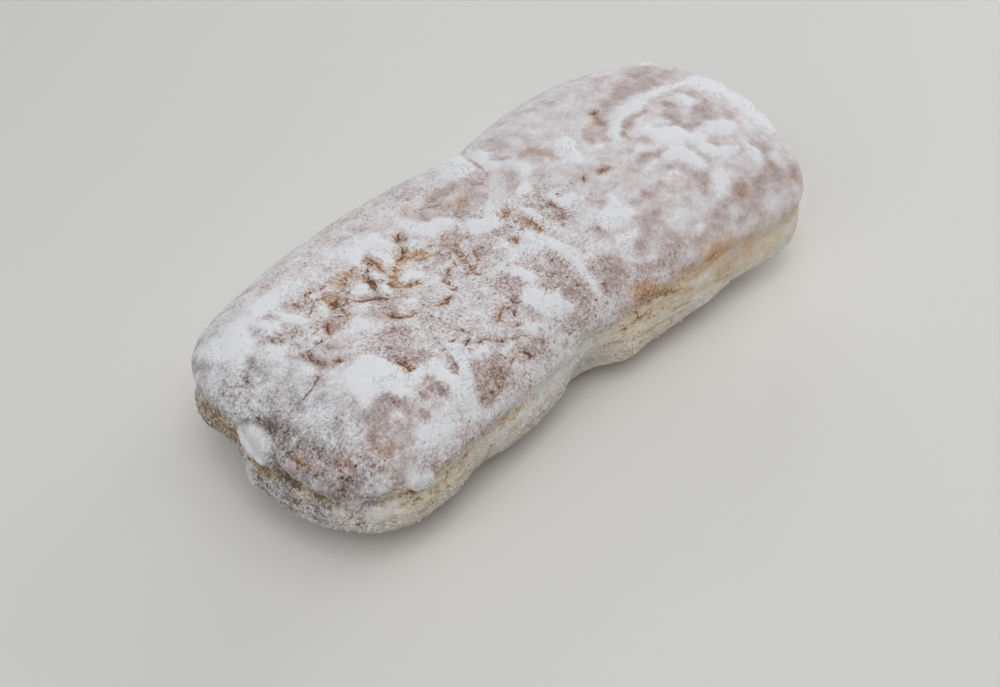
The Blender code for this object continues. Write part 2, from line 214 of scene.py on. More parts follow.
# Where the sugar is thin and the crust shows through it, in the same form, and then how
# orange the crust is there.
THIN_PATCHES = (
    (((-58.4, -4.4), (-48, -3.4), (-46.5, -8), (-48.4, -12.4), (-49.4, -16.6), (-53, -17.6), (-56.2, -17),
      (-56.4, -12.6), (-57.8, -9)), 1.4, 0.8, 0.0),
    (((-71, -16.5), (-66, -16.2), (-64, -17), (-63, -19), (-62.6, -21), (-65, -22), (-67, -20.8),
      (-68, -20.6), (-68.5, -22.5), (-70, -23), (-73.5, -22.8), (-74, -21.5), (-71.5, -20.5),
      (-72, -18.5)), 0.9, 1.0, 0.0),
    (((-74.2, -24), (-72.4, -24.4), (-70.8, -26), (-70.2, -27.4), (-72.6, -27.2),
      (-73.8, -25.8)), 0.7, 1.3, 0.3),
    (((-64.4, -21.8), (-60, -21.8), (-54.4, -20.2), (-52.8, -22.5), (-52.6, -24.5), (-54, -26.2),
      (-55, -25.4), (-56, -23.7), (-60, -23.6), (-64, -23.4)), 0.8, 0.95, 0.0),
    (((-62.4, -24.2), (-60.8, -24), (-60.4, -26), (-61.4, -27), (-62.6, -26)), 0.6, 1.1, 0.1),
    (((-46.6, -24.8), (-44.5, -23), (-43, -24), (-40, -24.5), (-37, -24.5), (-36, -26), (-37, -28),
      (-40, -29.5), (-46, -30.4), (-49, -29.8), (-48, -27)), 0.9, 1.1, 0.1),
    (((-47.6, -17.8), (-46.4, -18), (-46.9, -20.4), (-48, -22.6), (-49.3, -22.9),
      (-48.8, -20.6)), 0.5, 1.1, 0.0),
    (((-69.9, 17.6), (-68, 18.3), (-66.8, 16.2), (-67.6, 15.8), (-68.4, 16.9),
      (-69.2, 16.4)), 0.5, 0.9, 0.0),
    (((-69.4, 15.6), (-67.4, 14.6), (-65.6, 13.4), (-62, 12.6), (-60.8, 13.2), (-62, 11), (-66, 9.6),
      (-68.4, 12.6)), 0.8, 0.8, 0.1),
    (((-65.6, 19.4), (-63.8, 19.4), (-62.2, 17.2), (-62.2, 15.6), (-63.4, 16.6),
      (-64.6, 17.8)), 0.6, 0.8, 0.0),
    (((-69, 8.8), (-67.8, 9), (-67.6, 7.2), (-68.8, 7)), 0.5, 0.9, 0.1),
    (((-67.8, 6.4), (-65.2, 6.4), (-64.8, 2), (-65.4, -1.6), (-67.8, -1.8), (-68, 1.6)), 0.7, 1.1, 0.4),
    (((-60.6, 19.4), (-58, 19.6), (-56.6, 17.4), (-57.4, 16), (-58.8, 17), (-60.2, 17.8)), 0.7, 0.9, 0.0),
    (((-60, 10.8), (-58, 11.2), (-55, 9.8), (-49.4, 10), (-47.6, 8.8), (-50, 6.6), (-54, 5.6), (-57, 5),
      (-58.8, 5.4), (-58.4, 8)), 1.0, 0.85, 0.1),
    (((-52.6, 14.6), (-50.5, 15.2), (-48, 14.6), (-47.6, 12.2), (-50, 10.8),
      (-52.4, 11.6)), 0.8, 1.3, 0.5),
    (((-47.2, 18.4), (-43, 18.2), (-41, 17.8), (-39.4, 16.6), (-38.4, 15.3), (-41, 14.9), (-43, 15.3),
      (-45, 14), (-46.8, 14.3), (-47.5, 16.2)), 0.8, 1.3, 0.5),
    (((-47.2, 13.6), (-44.4, 13.6), (-43.4, 12.6), (-46.2, 12)), 0.6, 0.8, 0.2),
    (((-42, 14.4), (-40.6, 14.2), (-38.6, 13.8), (-39, 10.4), (-40.6, 8.2), (-41.8, 9),
      (-40.8, 11.4)), 0.6, 1.2, 0.4),
    (((-35.9, 17.6), (-34, 16.8), (-33.7, 13.6), (-34.8, 11.8), (-35.6, 13), (-35.3, 15.4),
      (-36.7, 16.6)), 0.6, 1.1, 0.5),
    (((-42.4, 4.8), (-40, 4.6), (-38, 2.6), (-36.8, 0.8), (-38.6, 0.2), (-40.6, 2.2),
      (-42.6, 2.8)), 1.0, 0.9, 0.15),
    (((-49.8, 4.4), (-46, 5), (-43, 3.4), (-41.8, 0.6), (-44.6, -2), (-48.6, -1),
      (-49.6, 1.6)), 1.2, 0.65, 0.0),
    (((-47.8, -2.2), (-46.4, -1), (-45, -2.6), (-43.4, -4.2), (-44.4, -5), (-46.4, -4)), 0.6, 0.9, 0.2),
    (((-37.6, -6.6), (-33.9, -6.4), (-33.8, -8.2), (-36.4, -8.2)), 0.7, 1.1, 0.5),
    (((-56.4, -11.6), (-54.8, -12), (-54.6, -15.4), (-55.8, -17), (-57, -16),
      (-56, -14.6)), 0.6, 1.1, 0.1),
    (((-27, 16.6), (-25.5, 17), (-24.3, 17.3), (-23.6, 15.9), (-24.6, 14.5),
      (-26.3, 15)), 0.6, 1.0, 0.15),
    (((-30, 12), (-28.4, 14), (-26.4, 14.8), (-27, 13), (-28, 11.6)), 0.5, 0.7, 0.2),
    (((-28.8, 6.6), (-26, 5.8), (-24, 6.8), (-20.4, 7.4), (-20, 4.2), (-23, 3.8), (-26, 4.2),
      (-28.6, 4.6)), 0.8, 0.8, 0.1),
    (((-22.6, 10.6), (-20.8, 10.8), (-20.6, 8.2), (-22.4, 8.4)), 0.7, 0.7, 0.1),
    (((-20, 8.2), (-16.4, 10.6), (-15.6, 8.6), (-14.2, 7), (-14.6, 3), (-17, 5.4),
      (-20, 6)), 0.9, 1.0, 0.25),
    (((-20, 5), (-18.4, 5.2), (-19.4, 2), (-20.8, -0.4), (-22, -3), (-23.8, -5), (-24.6, -4.4),
      (-22.6, -1.6), (-21.2, 1.4)), 0.6, 1.2, 0.35),
    (((-18, 0.6), (-15.6, 2.7), (-14.4, 0), (-12.8, -1), (-13.2, -3.2), (-16, -3),
      (-18.1, -2)), 0.7, 1.0, 0.1),
    (((-30.4, -1.6), (-27, 0.6), (-25, 1.4), (-25.2, 0.4), (-28, -1.2), (-30.6, -3)), 0.5, 0.8, 0.2),
    (((-18.6, 20.2), (-12, 20.8), (-8, 22), (-2, 21.2), (3, 20.4), (6.5, 19.5), (7, 17), (6, 15.6),
      (3, 15), (0, 13), (-2, 9), (-5, 10), (-8.5, 9.4), (-12, 8.8), (-12.4, 12), (-15, 14.7),
      (-17.6, 16.2)), 1.4, 0.8, 0.0),
    (((-9.8, 15.6), (-5.4, 16), (-4, 13.4), (-6.4, 11.4), (-9.6, 11.8)), 1.2, 1.2, 0.4),
    (((-9.9, 1.4), (-7.8, 1), (-7.8, -0.8), (-9.6, -1.2)), 0.6, 1.0, 0.1),
    (((-9.8, -2.6), (-7, -2.4), (-6.8, -5), (-9.4, -5.2)), 0.7, 1.0, 0.3),
    (((-3.6, 0.6), (-1, 0.6), (0.2, -3), (0.2, -6.2), (-0.6, -7.2), (-1.9, -5.4),
      (-3.4, -3)), 0.7, 1.1, 0.4),
    (((-4, 3.9), (-1.4, 4.1), (-1.7, 2.5), (-2.8, 1.6), (-4.2, 2)), 0.7, 1.1, 0.4),
    (((2.6, 1), (5, 0.8), (8.2, 1.6), (7.8, -1), (7.8, -4.6), (7, -7.4), (6, -9), (4, -8.2), (2.6, -6),
      (3, -1.4)), 0.7, 1.0, 0.1),
    (((-24.5, -11), (-20.5, -11), (-19.2, -13), (-19.4, -16), (-20.5, -18), (-22.5, -18.5), (-25, -17.3),
      (-26.5, -15), (-25.5, -12.5)), 1.1, 0.9, 0.0),
    (((-15.6, -11), (-13.5, -11.5), (-11, -11.7), (-7, -13), (-6.6, -16.5), (-5.9, -19), (-7.5, -20),
      (-9.7, -19), (-9.3, -15), (-11.4, -14.6), (-12, -17), (-14.6, -16.8), (-15.2, -14)), 0.9, 0.8, 0.0),
    (((-17.2, -18.5), (-14.5, -18.2), (-12, -18), (-9, -19.5), (-7.3, -21), (-7, -24), (-7.3, -27.6),
      (-10, -26.8), (-12.6, -26.4), (-13.6, -25), (-13.8, -22), (-16, -20.6)), 0.8, 1.0, 0.05),
    (((-20, -27.6), (-15, -26.9), (-11, -27.6), (-7.6, -28.4), (-9, -30), (-18, -30)), 0.8, 1.0, 0.05),
    (((-32, -26), (-24.5, -26.4), (-24.6, -28), (-32, -28.4)), 0.8, 0.95, 0.05),
    (((-3.6, -22.6), (-1, -21.6), (2, -22.5), (4, -26), (3, -29), (0, -30), (-4, -28.6)), 0.9, 0.95, 0.1),
    (((3.8, -15.5), (6.5, -16), (7.5, -19), (6, -22.5), (4.6, -20.5), (5, -18)), 0.9, 0.85, 0.0),
    (((8.2, -26), (10, -25.6), (12.5, -25.8), (12, -28.4), (9, -28.8)), 1.2, 0.5, 0.05),
    (((5, -29), (12, -31), (20, -30.5), (28, -31), (36, -31.4), (42, -32), (43.6, -30), (46.5, -30),
      (46.5, -32.5), (50, -33.4), (57, -31.4), (58, -35), (46, -37), (30, -35.4), (14, -34.4),
      (7, -32.4)), 1.2, 0.8, 0.1),
    (((14, -24.5), (16.5, -23), (19, -21), (21.8, -23.6), (21.4, -25.4), (19, -26.5), (16, -27),
      (13.8, -25.8)), 1.2, 0.6, 0.0),
    (((17.6, -17.5), (20.3, -17.3), (24, -18.3), (28, -17.3), (30, -18), (28.6, -20.5), (24, -21),
      (21.5, -20.2), (19, -20.8), (18.2, -19.5)), 1.0, 0.9, 0.0),
    (((12, -11), (15.4, -11.2), (15, -13.4), (12, -13.8)), 1.0, 0.5, 0.0),
    (((16.6, -10.4), (19, -11), (21.6, -11), (21.4, -12.2), (18.6, -12.4)), 0.6, 0.9, 0.1),
    (((21.6, -4.8), (25.4, -4.6), (25.6, -7.2), (23, -7)), 0.7, 1.2, 0.2),
    (((14, 27), (17, 28.5), (19.6, 27), (19.7, 22), (18, 20.3), (16.5, 21.4), (14.5, 22.4),
      (13.8, 24.5)), 1.2, 0.7, 0.0),
    (((12.2, 20), (13, 21.5), (14.4, 19.5), (13.7, 17), (12.2, 17)), 1.0, 0.5, 0.0),
    (((4.8, 11.8), (7.8, 13), (11.2, 13), (10.4, 11.2), (9.2, 9), (8.4, 6.2), (4, 5.6),
      (3, 7.2)), 1.0, 0.6, 0.0),
    (((14.8, 13.5), (16, 15.8), (18, 15.5), (21.2, 14.2), (21.4, 11.6), (23, 11), (22, 9), (20.6, 7.6),
      (20.2, 5.4), (18.7, 6.8), (18.5, 9.3), (17, 7.9), (15.6, 8.6), (15.7, 10), (17.2, 12),
      (15.5, 12.5)), 1.0, 0.95, 0.15),
    (((30, 4.4), (32.2, 8), (35, 9.5), (38, 10.3), (41.5, 11.8), (44.4, 13), (42.6, 10), (41.7, 7.5),
      (39.6, 4.4), (37.4, 3.4), (35, 0.8), (33, 1.5), (34, 4), (31.5, 3.3)), 1.0, 1.0, 0.1),
    (((38.3, 9.7), (41.6, 10.4), (41.8, 7.4), (39.8, 5.2), (38.2, 7)), 0.8, 1.3, 0.3),
    (((44.6, 11.2), (47, 12.7), (52, 13.7), (58, 15.7), (61, 14.6), (64, 17), (68, 19), (71, 17.5),
      (74, 14.5), (74.5, 10), (72, 8), (68, 6.2), (65, 6.4), (61, 8), (57, 9), (54.5, 9.7), (50, 9.7),
      (46, 9.2)), 1.3, 0.85, 0.0),
    (((53, 21), (56.5, 21), (55, 18.5), (52.5, 19)), 1.0, 0.6, 0.0),
    (((38.2, 1.2), (40, 2), (43, 2.8), (46.5, 3.1), (49, 2.5), (52, 2.6), (50.4, 0.7), (47, 1),
      (44.5, 0.9), (42.5, -0.2), (41.5, -1.7), (40.3, -1.4), (40.4, 0.3), (39.2, -1), (38.6, -3.4),
      (37.5, -3), (38, -0.6)), 0.7, 1.1, 0.15),
    (((49, -4.2), (53, -1.7), (56.5, 0.8), (58.5, 1.1), (57.4, -1), (58.6, -3), (57, -4.2), (54.5, -6.5),
      (52.5, -8.4), (49.5, -8.6), (47.5, -8.2), (50, -6.8), (51, -5)), 0.9, 0.9, 0.0),
    (((48.6, -13.8), (50, -14.2), (52.2, -13), (56.5, -13.3), (59, -14.4), (61.4, -14.2), (62.4, -11.8),
      (65, -9), (66, -5.6), (63, -6.6), (59, -7.2), (56.5, -8.4), (52.5, -10),
      (50.4, -10.8)), 1.0, 0.95, 0.0),
    (((62.8, -5), (64, -3), (65.5, -1), (69.5, -0.4), (68.6, -2), (66.5, -3.5), (64, -5)), 0.9, 0.7, 0.0),
    (((31, -4.2), (34.8, -4.4), (34.6, -6.5), (32.4, -6.8), (31, -5.6)), 0.9, 0.8, 0.0),
    (((29.5, -10.5), (31.5, -9.4), (33.5, -9), (36, -9.2), (37.6, -11), (40, -11.2), (40.2, -12.6),
      (38, -13), (36, -12), (33, -12.6), (30.5, -11.8)), 0.9, 0.95, 0.0),
    (((37.3, -5), (39, -4), (41.7, -4.7), (40.7, -6.7), (39.5, -8.2), (38.2, -6.8)), 0.8, 0.95, 0.05),
    (((44, -15.4), (45.8, -15.8), (45.7, -17.4), (44, -17.6)), 0.7, 0.7, 0.0),
    (((43.9, -18.6), (45.2, -19), (46, -22), (44.4, -22.8)), 0.8, 0.6, 0.0),
    (((36.4, -19), (38.4, -18), (39.7, -20.5), (39.8, -23.4), (42.4, -23.9), (39, -26.6), (37, -27.7),
      (36.6, -29.7), (34.2, -28), (34.6, -25)), 0.9, 0.9, 0.05),
    (((49.6, -18.8), (51.5, -19), (51.6, -21.2), (50.2, -21.2)), 0.8, 0.6, 0.0),
    (((57.4, -26), (61, -26.4), (62, -31), (57.6, -31), (56.8, -28.6)), 1.0, 0.85, 0.05),
    (((28, -21.8), (30.6, -22), (30.4, -23.6), (28, -23.4)), 1.0, 0.6, 0.0),
    (((60, -15.6), (65, -15), (63, -18), (61, -19.5)), 1.2, 0.5, 0.0),
    (((45, -25.2), (47.4, -25.2), (47.2, -27.4), (45.4, -27.4)), 0.9, 0.6, 0.0),
    (((43.6, -34.6), (42, -32.6), (44, -31), (46.6, -31.6), (47.4, -34)), 0.8, 1.2, 0.3),
    (((-80.9, -18.6), (-79.9, -18.8), (-78.6, -22.8), (-79.4, -24), (-80.8, -21.4)), 0.6, 1.0, 0.2),
    (((-79.6, 8.2), (-78.6, 10.4), (-78, 12.6), (-76.6, 12.9), (-75, 14), (-73, 14.2), (-74, 12.6),
      (-76, 12), (-77, 11), (-77.6, 9)), 0.6, 0.9, 0.0),
    (((-77.4, -2), (-72, -1.6), (-69, -1.2), (-69.4, -3.2), (-73.8, -4.4), (-77, -3.6)), 0.8, 0.6, 0.0),
    (((-63.4, 4.6), (-61.4, 4.4), (-60.6, 0.6), (-62, -0.4), (-63.2, 1.6)), 0.9, 0.6, 0.0),
    (((-66, -1.6), (-63, -1.4), (-63, -3.4), (-65.4, -3.6)), 0.6, 0.9, 0.3),
)

# Small dark pits in the sugar: centre, reach and how dark they are.
DARK_PITS = tuple(((x, y), reach, dark) for x, y, reach, dark in (
    (-74.6, 13.2, 0.7, 0.8), (-78.3, 10.3, 0.7, 0.8), (-75.5, 9.8, 0.6, 0.7), (-68.8, 19.5, 0.7, 0.7),
    (-63.6, 19, 0.6, 0.7), (-61.5, 6, 0.6, 0.8), (-56.8, 17, 0.5, 1.0), (-65.2, 8.8, 0.6, 0.7),
    (-80.6, -12.3, 0.6, 0.8), (-81.8, -11.8, 0.6, 0.8), (-82, -10.2, 0.5, 0.8), (-79, -15, 0.6, 0.7),
    (-76.3, -16.3, 0.7, 0.6), (-74.9, -13, 0.6, 0.6), (-81.5, -17.6, 0.6, 0.7), (-78.5, -20.6, 0.6, 0.7),
    (-77.5, -23, 0.6, 0.7), (-80.3, -1.4, 0.8, 0.7), (-71.9, 4.5, 0.6, 0.5), (-83, 9.2, 0.7, 0.7),
    (-81, 23.2, 1.1, 0.7), (-77.4, 8.4, 0.7, 0.7), (-80.6, 7.6, 0.7, 0.6), (-67.4, -23, 0.5, 0.6),
    (-58.9, -22.8, 0.5, 0.7), (-47.3, -15.3, 0.55, 0.9), (-47.5, -17, 0.5, 0.6), (-43.5, -16.8, 0.5, 0.9),
    (-41.3, -19.2, 0.6, 0.8), (-30.4, -19, 0.9, 0.9), (-29, -18.3, 0.5, 0.8), (-24.8, -17.9, 0.5, 0.8),
    (-24.2, -18.8, 0.5, 0.7), (-26.3, -20, 0.6, 0.7), (-28.2, -22.5, 0.5, 0.8), (-19.4, -22.6, 0.5, 0.7),
    (-19.4, -24.5, 0.5, 0.6), (-19.4, -26, 0.5, 0.6), (-16.1, -26.3, 0.5, 0.6), (-22, -23.4, 1.0, 0.5),
    (-31.2, -6, 0.8, 0.7), (-30.5, 23.2, 0.9, 0.5), (-28.3, 20.2, 0.7, 0.5), (-38.6, 6.6, 0.6, 0.8),
    (-21, 7.5, 0.6, 0.8), (-28, -2.5, 0.6, 0.7), (-30.4, -3.7, 0.6, 0.8), (-8.2, -4.7, 0.8, 0.4),
    (-8.6, 1.1, 0.5, 0.7), (-16.6, 9.7, 0.6, 0.7), (-18.2, 9.4, 0.5, 0.6), (-7.6, 6.4, 0.6, 0.4),
    (7, -3.2, 0.8, 0.6), (3.4, 0.6, 0.6, 0.5), (12.8, 4.5, 0.7, 0.5), (18.3, -3.7, 0.6, 0.6),
    (7.8, -6, 0.6, 0.5), (9.4, -7.5, 0.6, 0.5), (12.6, -6.4, 0.6, 0.5), (20, -9, 0.6, 0.4),
    (42.8, 12.4, 0.9, 0.9), (43.2, -33, 0.7, 0.4), (48.8, -33.9, 0.8, 0.6), (42.4, 1.3, 0.9, 0.5),
    (49.5, 1.6, 0.8, 0.3), (-52, 18.1, 0.5, 0.9), (-49.5, 17.4, 0.5, 0.7), (-38.2, 14.5, 0.6, 0.8),
    (-36.2, 15, 0.5, 0.5), (-25.7, 16.4, 0.6, 0.7), (-24.6, 14.9, 0.5, 0.6), (-64.4, -10.6, 1.3, 0.3),
    (-62.6, -12.6, 1.4, 0.3), (-60.8, -14.4, 1.2, 0.28), (-66.2, -13.4, 1.2, 0.2), (-46, -11, 1.0, 0.2),
))

# Wrinkles and cracks where the crust's brown shows, seen from above: the points of a path,
# its half-width, how dark it is, and how orange the crust round it is.
WRINKLES = (
    (((-36, 7.4), (-35.2, 8.4), (-33.9, 9.6)), 0.9, 0.75, 1.0),
    (((-33.6, 9.9), (-32, 10.7), (-30, 11.2), (-28.6, 11.3), (-27.2, 10.8)), 0.8, 0.4, 1.0),
    (((-27, 10.6), (-25.5, 10.4), (-24.5, 9.4), (-23.6, 8.2)), 0.7, 0.7, 1.0),
    (((-30, 12), (-28.6, 12.2), (-27.7, 13), (-27, 14)), 0.35, 0.9, 0.5),
    (((-26.4, 16.2), (-25.4, 16.8), (-24.5, 17.4)), 0.35, 0.7, 0.4),
    (((-27, 9), (-26, 8.4), (-25.2, 8)), 0.25, 0.6, 0.3),
    (((-37.3, 7.2), (-37.1, 5.6), (-36.2, 4.6)), 0.65, 1.0, 0.5),
    (((-36.4, 4.6), (-35.4, 3.9), (-34.6, 3.6), (-33.7, 3.5)), 0.75, 1.0, 0.7),
    (((-45.8, 8.9), (-44.6, 7.8), (-43.6, 6.9), (-42.8, 5.7), (-42, 4.6)), 0.6, 0.95, 0.2),
    (((-38.9, 14.6), (-37.8, 14.3)), 0.35, 0.8, 0.2),
    (((-36.8, 15), (-35.9, 15.1)), 0.3, 0.7, 0.2),
    (((-34.5, 15.8), (-34.4, 15), (-34.9, 13.5), (-35.1, 12.3)), 0.6, 0.65, 0.8),
    (((-40, 12), (-40.4, 11), (-40.9, 10), (-41.3, 8.9)), 0.35, 0.85, 0.3),
    (((-39.2, 12.8), (-39.6, 11), (-39.9, 10)), 0.35, 0.75, 0.4),
    (((-53.8, 18.4), (-52.6, 18.3), (-51.4, 18)), 0.3, 0.9, 0.4),
    (((-49.7, 17.5), (-49.2, 17.4)), 0.3, 0.8, 0.2),
    (((-57, 17.6), (-56.8, 16.8)), 0.3, 0.85, 0.2),
    (((-55.2, 16.2), (-54.2, 17.3)), 0.28, 0.7, 0.2),
    (((-56.2, 13.6), (-55.2, 14.2), (-54, 14.8)), 0.25, 0.75, 0.1),
    (((-51.8, 11.4), (-50.4, 11.5)), 0.32, 0.75, 0.4),
    (((-50, 10.9), (-48.9, 10.6), (-48, 10.7)), 0.35, 0.9, 0.3),
    (((-51.4, 7.6), (-50.9, 8.7), (-50.3, 9.6)), 0.5, 0.75, 0.6),
    (((-58.2, 6.1), (-57.6, 7), (-56.9, 7.9)), 0.4, 0.9, 0.6),
    (((-61.9, 6), (-60.9, 5.9)), 0.3, 0.75, 0.1),
    (((-46.3, -1), (-46.1, -2.5), (-45.3, -3.5), (-44.4, -4.1), (-43.6, -4.5)), 0.38, 0.9, 0.5),
    (((-37.2, -7.2), (-36, -7.5), (-34.4, -7.6)), 0.4, 0.65, 0.7),
    (((-30.5, -4), (-29.8, -3.1)), 0.3, 0.85, 0.2),
    (((-29.9, -1.9), (-28.4, -0.6), (-27, 0.2), (-26, 0.9)), 0.42, 0.6, 0.3),
    (((-23.3, 0.7), (-22.8, 1.6)), 0.35, 0.9, 0.1),
    (((-17.7, 4.8), (-18.6, 2.9), (-19.4, 1.2), (-20.1, -0.4)), 0.25, 0.6, 0.1),
    (((-19.1, 4.7), (-19.9, 3.6), (-20.5, 1.8), (-20.9, 0.6)), 0.5, 0.25, 0.3),
    (((-20.6, -0.5), (-22, -3), (-23.6, -4.8)), 0.4, 0.6, 0.4),
    (((-17.2, 0.2), (-19, -2.5), (-22, -4.1)), 0.3, 0.55, 0.3),
    (((-31.4, -5.3), (-31, -6.4)), 0.4, 0.8, 0.1),
    (((-23.5, -6.3), (-23, -6.9)), 0.35, 0.9, 0.0),
    (((-34, 1.8), (-32.6, 2)), 0.25, 0.5, 0.1),
    (((-38.7, -20.6), (-37.2, -21.1), (-36, -21.8), (-35, -22.9), (-33.6, -23.3)), 0.3, 0.9, 0.2),
    (((-31.7, -23.9), (-30, -24.5), (-28.2, -25.1)), 0.22, 0.6, 0.1),
    (((-30.8, -19.3), (-30, -18.9), (-29.2, -18.2), (-28, -18)), 0.35, 0.5, 0.6),
    (((-35.7, -27.4), (-35, -26.9), (-34, -26.5), (-32.3, -26.4), (-30.6, -27.2)), 0.25, 0.5, 0.2),
    (((-40.6, -15.8), (-40, -16.8), (-39.4, -17.7)), 0.22, 0.75, 0.1),
    (((-43.8, -16.7), (-43, -16.8)), 0.2, 0.9, 0.3),
    (((-41.7, -19.4), (-41.1, -19.2)), 0.2, 0.8, 0.2),
    (((-24.9, -17.7), (-25, -18.6), (-24.2, -19)), 0.28, 0.75, 0.1),
    (((-26.6, -20.2), (-25.8, -19.8)), 0.28, 0.7, 0.1),
    (((-28.4, -22.6), (-27.9, -22.7)), 0.3, 0.8, 0.1),
    (((-56.3, -13.5), (-55.6, -15), (-56.2, -16.3), (-56.9, -15.8)), 0.4, 0.85, 0.6),
    (((-74.6, -3.7), (-72.5, -3.5), (-70.8, -2.7), (-69.2, -1.8)), 0.3, 0.6, 0.1),
    (((-65.5, 5), (-66.2, 3.5), (-67, 1.4)), 0.35, 0.6, 0.4),
    (((-66.2, 0.6), (-66.8, -1.6)), 0.8, 0.25, 0.5),
    (((-63.8, -2.2), (-63.5, -2.7)), 0.4, 0.8, 0.5),
    (((-3.4, 2.6), (-2.2, 3.3)), 0.8, 0.3, 0.6),
    (((-8.7, -5.1), (-8, -4.4)), 0.5, 0.5, 0.5),
    (((-0.6, -2.2), (-0.4, -4.2), (-0.8, -5.8)), 0.6, 0.3, 0.6),
    (((7, -1.6), (7.3, -4.6)), 0.45, 0.55, 0.3),
    (((18, -3.9), (18.6, -3.5)), 0.5, 0.7, 0.2),
    (((22.2, -5.8), (24, -6)), 0.7, 0.45, 0.3),
    (((42.3, 12.7), (43.2, 12.2)), 0.6, 0.5, 0.3),
    (((40.2, 7.6), (41.8, 10.2)), 0.6, 0.15, 0.4),
    (((15, 33), (12, 30), (10.3, 27), (8.9, 23.5), (7.9, 20), (6, 16.6)), 0.4, 0.35, 0.0),
    (((2.4, 32), (1, 29.5), (0.2, 27.4)), 0.35, 0.35, 0.0),
    (((-17, 24), (-18.4, 20.8)), 0.35, 0.4, 0.2),
    (((-12.6, 18.6), (-11, 17.2)), 0.4, 0.4, 0.3),
)

# The rim of the doughnut seen from above, from its left side round the near end to the
# right side and back. A place on the side is told by how far along the rim it is and by its
# height.
RIM = (
    (-60, 37), (-75, 32), (-83, 24), (-86, 12), (-86, 0), (-85.5, -10), (-83, -20), (-78, -27),
    (-68, -31), (-55, -31), (-40, -30.5), (-25, -30), (-10, -29.5), (2, -32), (15, -35.5), (30, -37),
    (45, -39), (60, -40.5), (72, -33), (80, -17), (86, 0), (86, 15), (80, 25), (70, 32), (50, 38.5),
    (30, 38.5), (10, 38), (-10, 40.5), (-30, 41), (-45, 40),
)

# Lumps of caked sugar on the side: the corners of the outline along the rim and up, how soft
# its edge is, how far it stands out and how thick its sugar is.
CAKED_LUMPS = (
    (((47, 26.8), (49, 27.7), (52, 28.2), (55, 27.8), (56.2, 26.3), (55, 24), (54.4, 22), (53.7, 20),
      (52, 19.6), (50.5, 20.1), (49, 19.4), (47.5, 20.2), (45.4, 20.8), (43.8, 22.4),
      (45.4, 24.6)), 0.5, 1.4, 0.85),
    (((47.6, 17.4), (49.4, 17.6), (51, 15.6), (50.6, 12), (49, 10.6), (48, 13.4)), 0.4, 1.0, 0.78),
    (((86.6, 25.5), (88, 25.8), (90.5, 25.4), (91.8, 24), (92.6, 21), (92.4, 19.9), (91, 19.5),
      (89, 19.9), (88, 21.5), (86.6, 23.5)), 0.5, 1.0, 0.88),
    (((80.3, 26), (82.6, 26.1), (82.4, 24), (80.6, 23.8)), 0.5, 0.5, 0.7),
    (((78.4, 18.6), (82.6, 18.4), (84.4, 16.8), (81, 15.8), (78.6, 16.6)), 0.8, 0.4, 0.66),
    (((70.8, 17.6), (73.6, 17.4), (74, 15.8), (71.2, 15.9)), 0.6, 0.4, 0.68),
    (((156, 17.4), (158.2, 16.8), (158, 14.6), (156.2, 15)), 0.6, 0.3, 0.6),
    (((162, 17.8), (165.8, 16.2), (165.4, 15.4), (161.6, 16.8)), 0.5, 0.3, 0.7),
    (((173, 17), (176.6, 17.8), (176, 16), (173.4, 15.8)), 0.6, 0.3, 0.6),
    (((236, 17), (241, 18), (240, 14), (236, 13.6)), 0.7, 0.5, 0.7),
    (((300, 15), (306, 16.6), (307, 13.4), (301, 12.6)), 0.7, 0.6, 0.7),
    (((346, 17), (352, 18.6), (353, 15), (347, 14)), 0.7, 0.5, 0.65),
    (((398, 16), (403, 17.4), (404, 14.4), (399, 13.4)), 0.7, 0.5, 0.7),
)

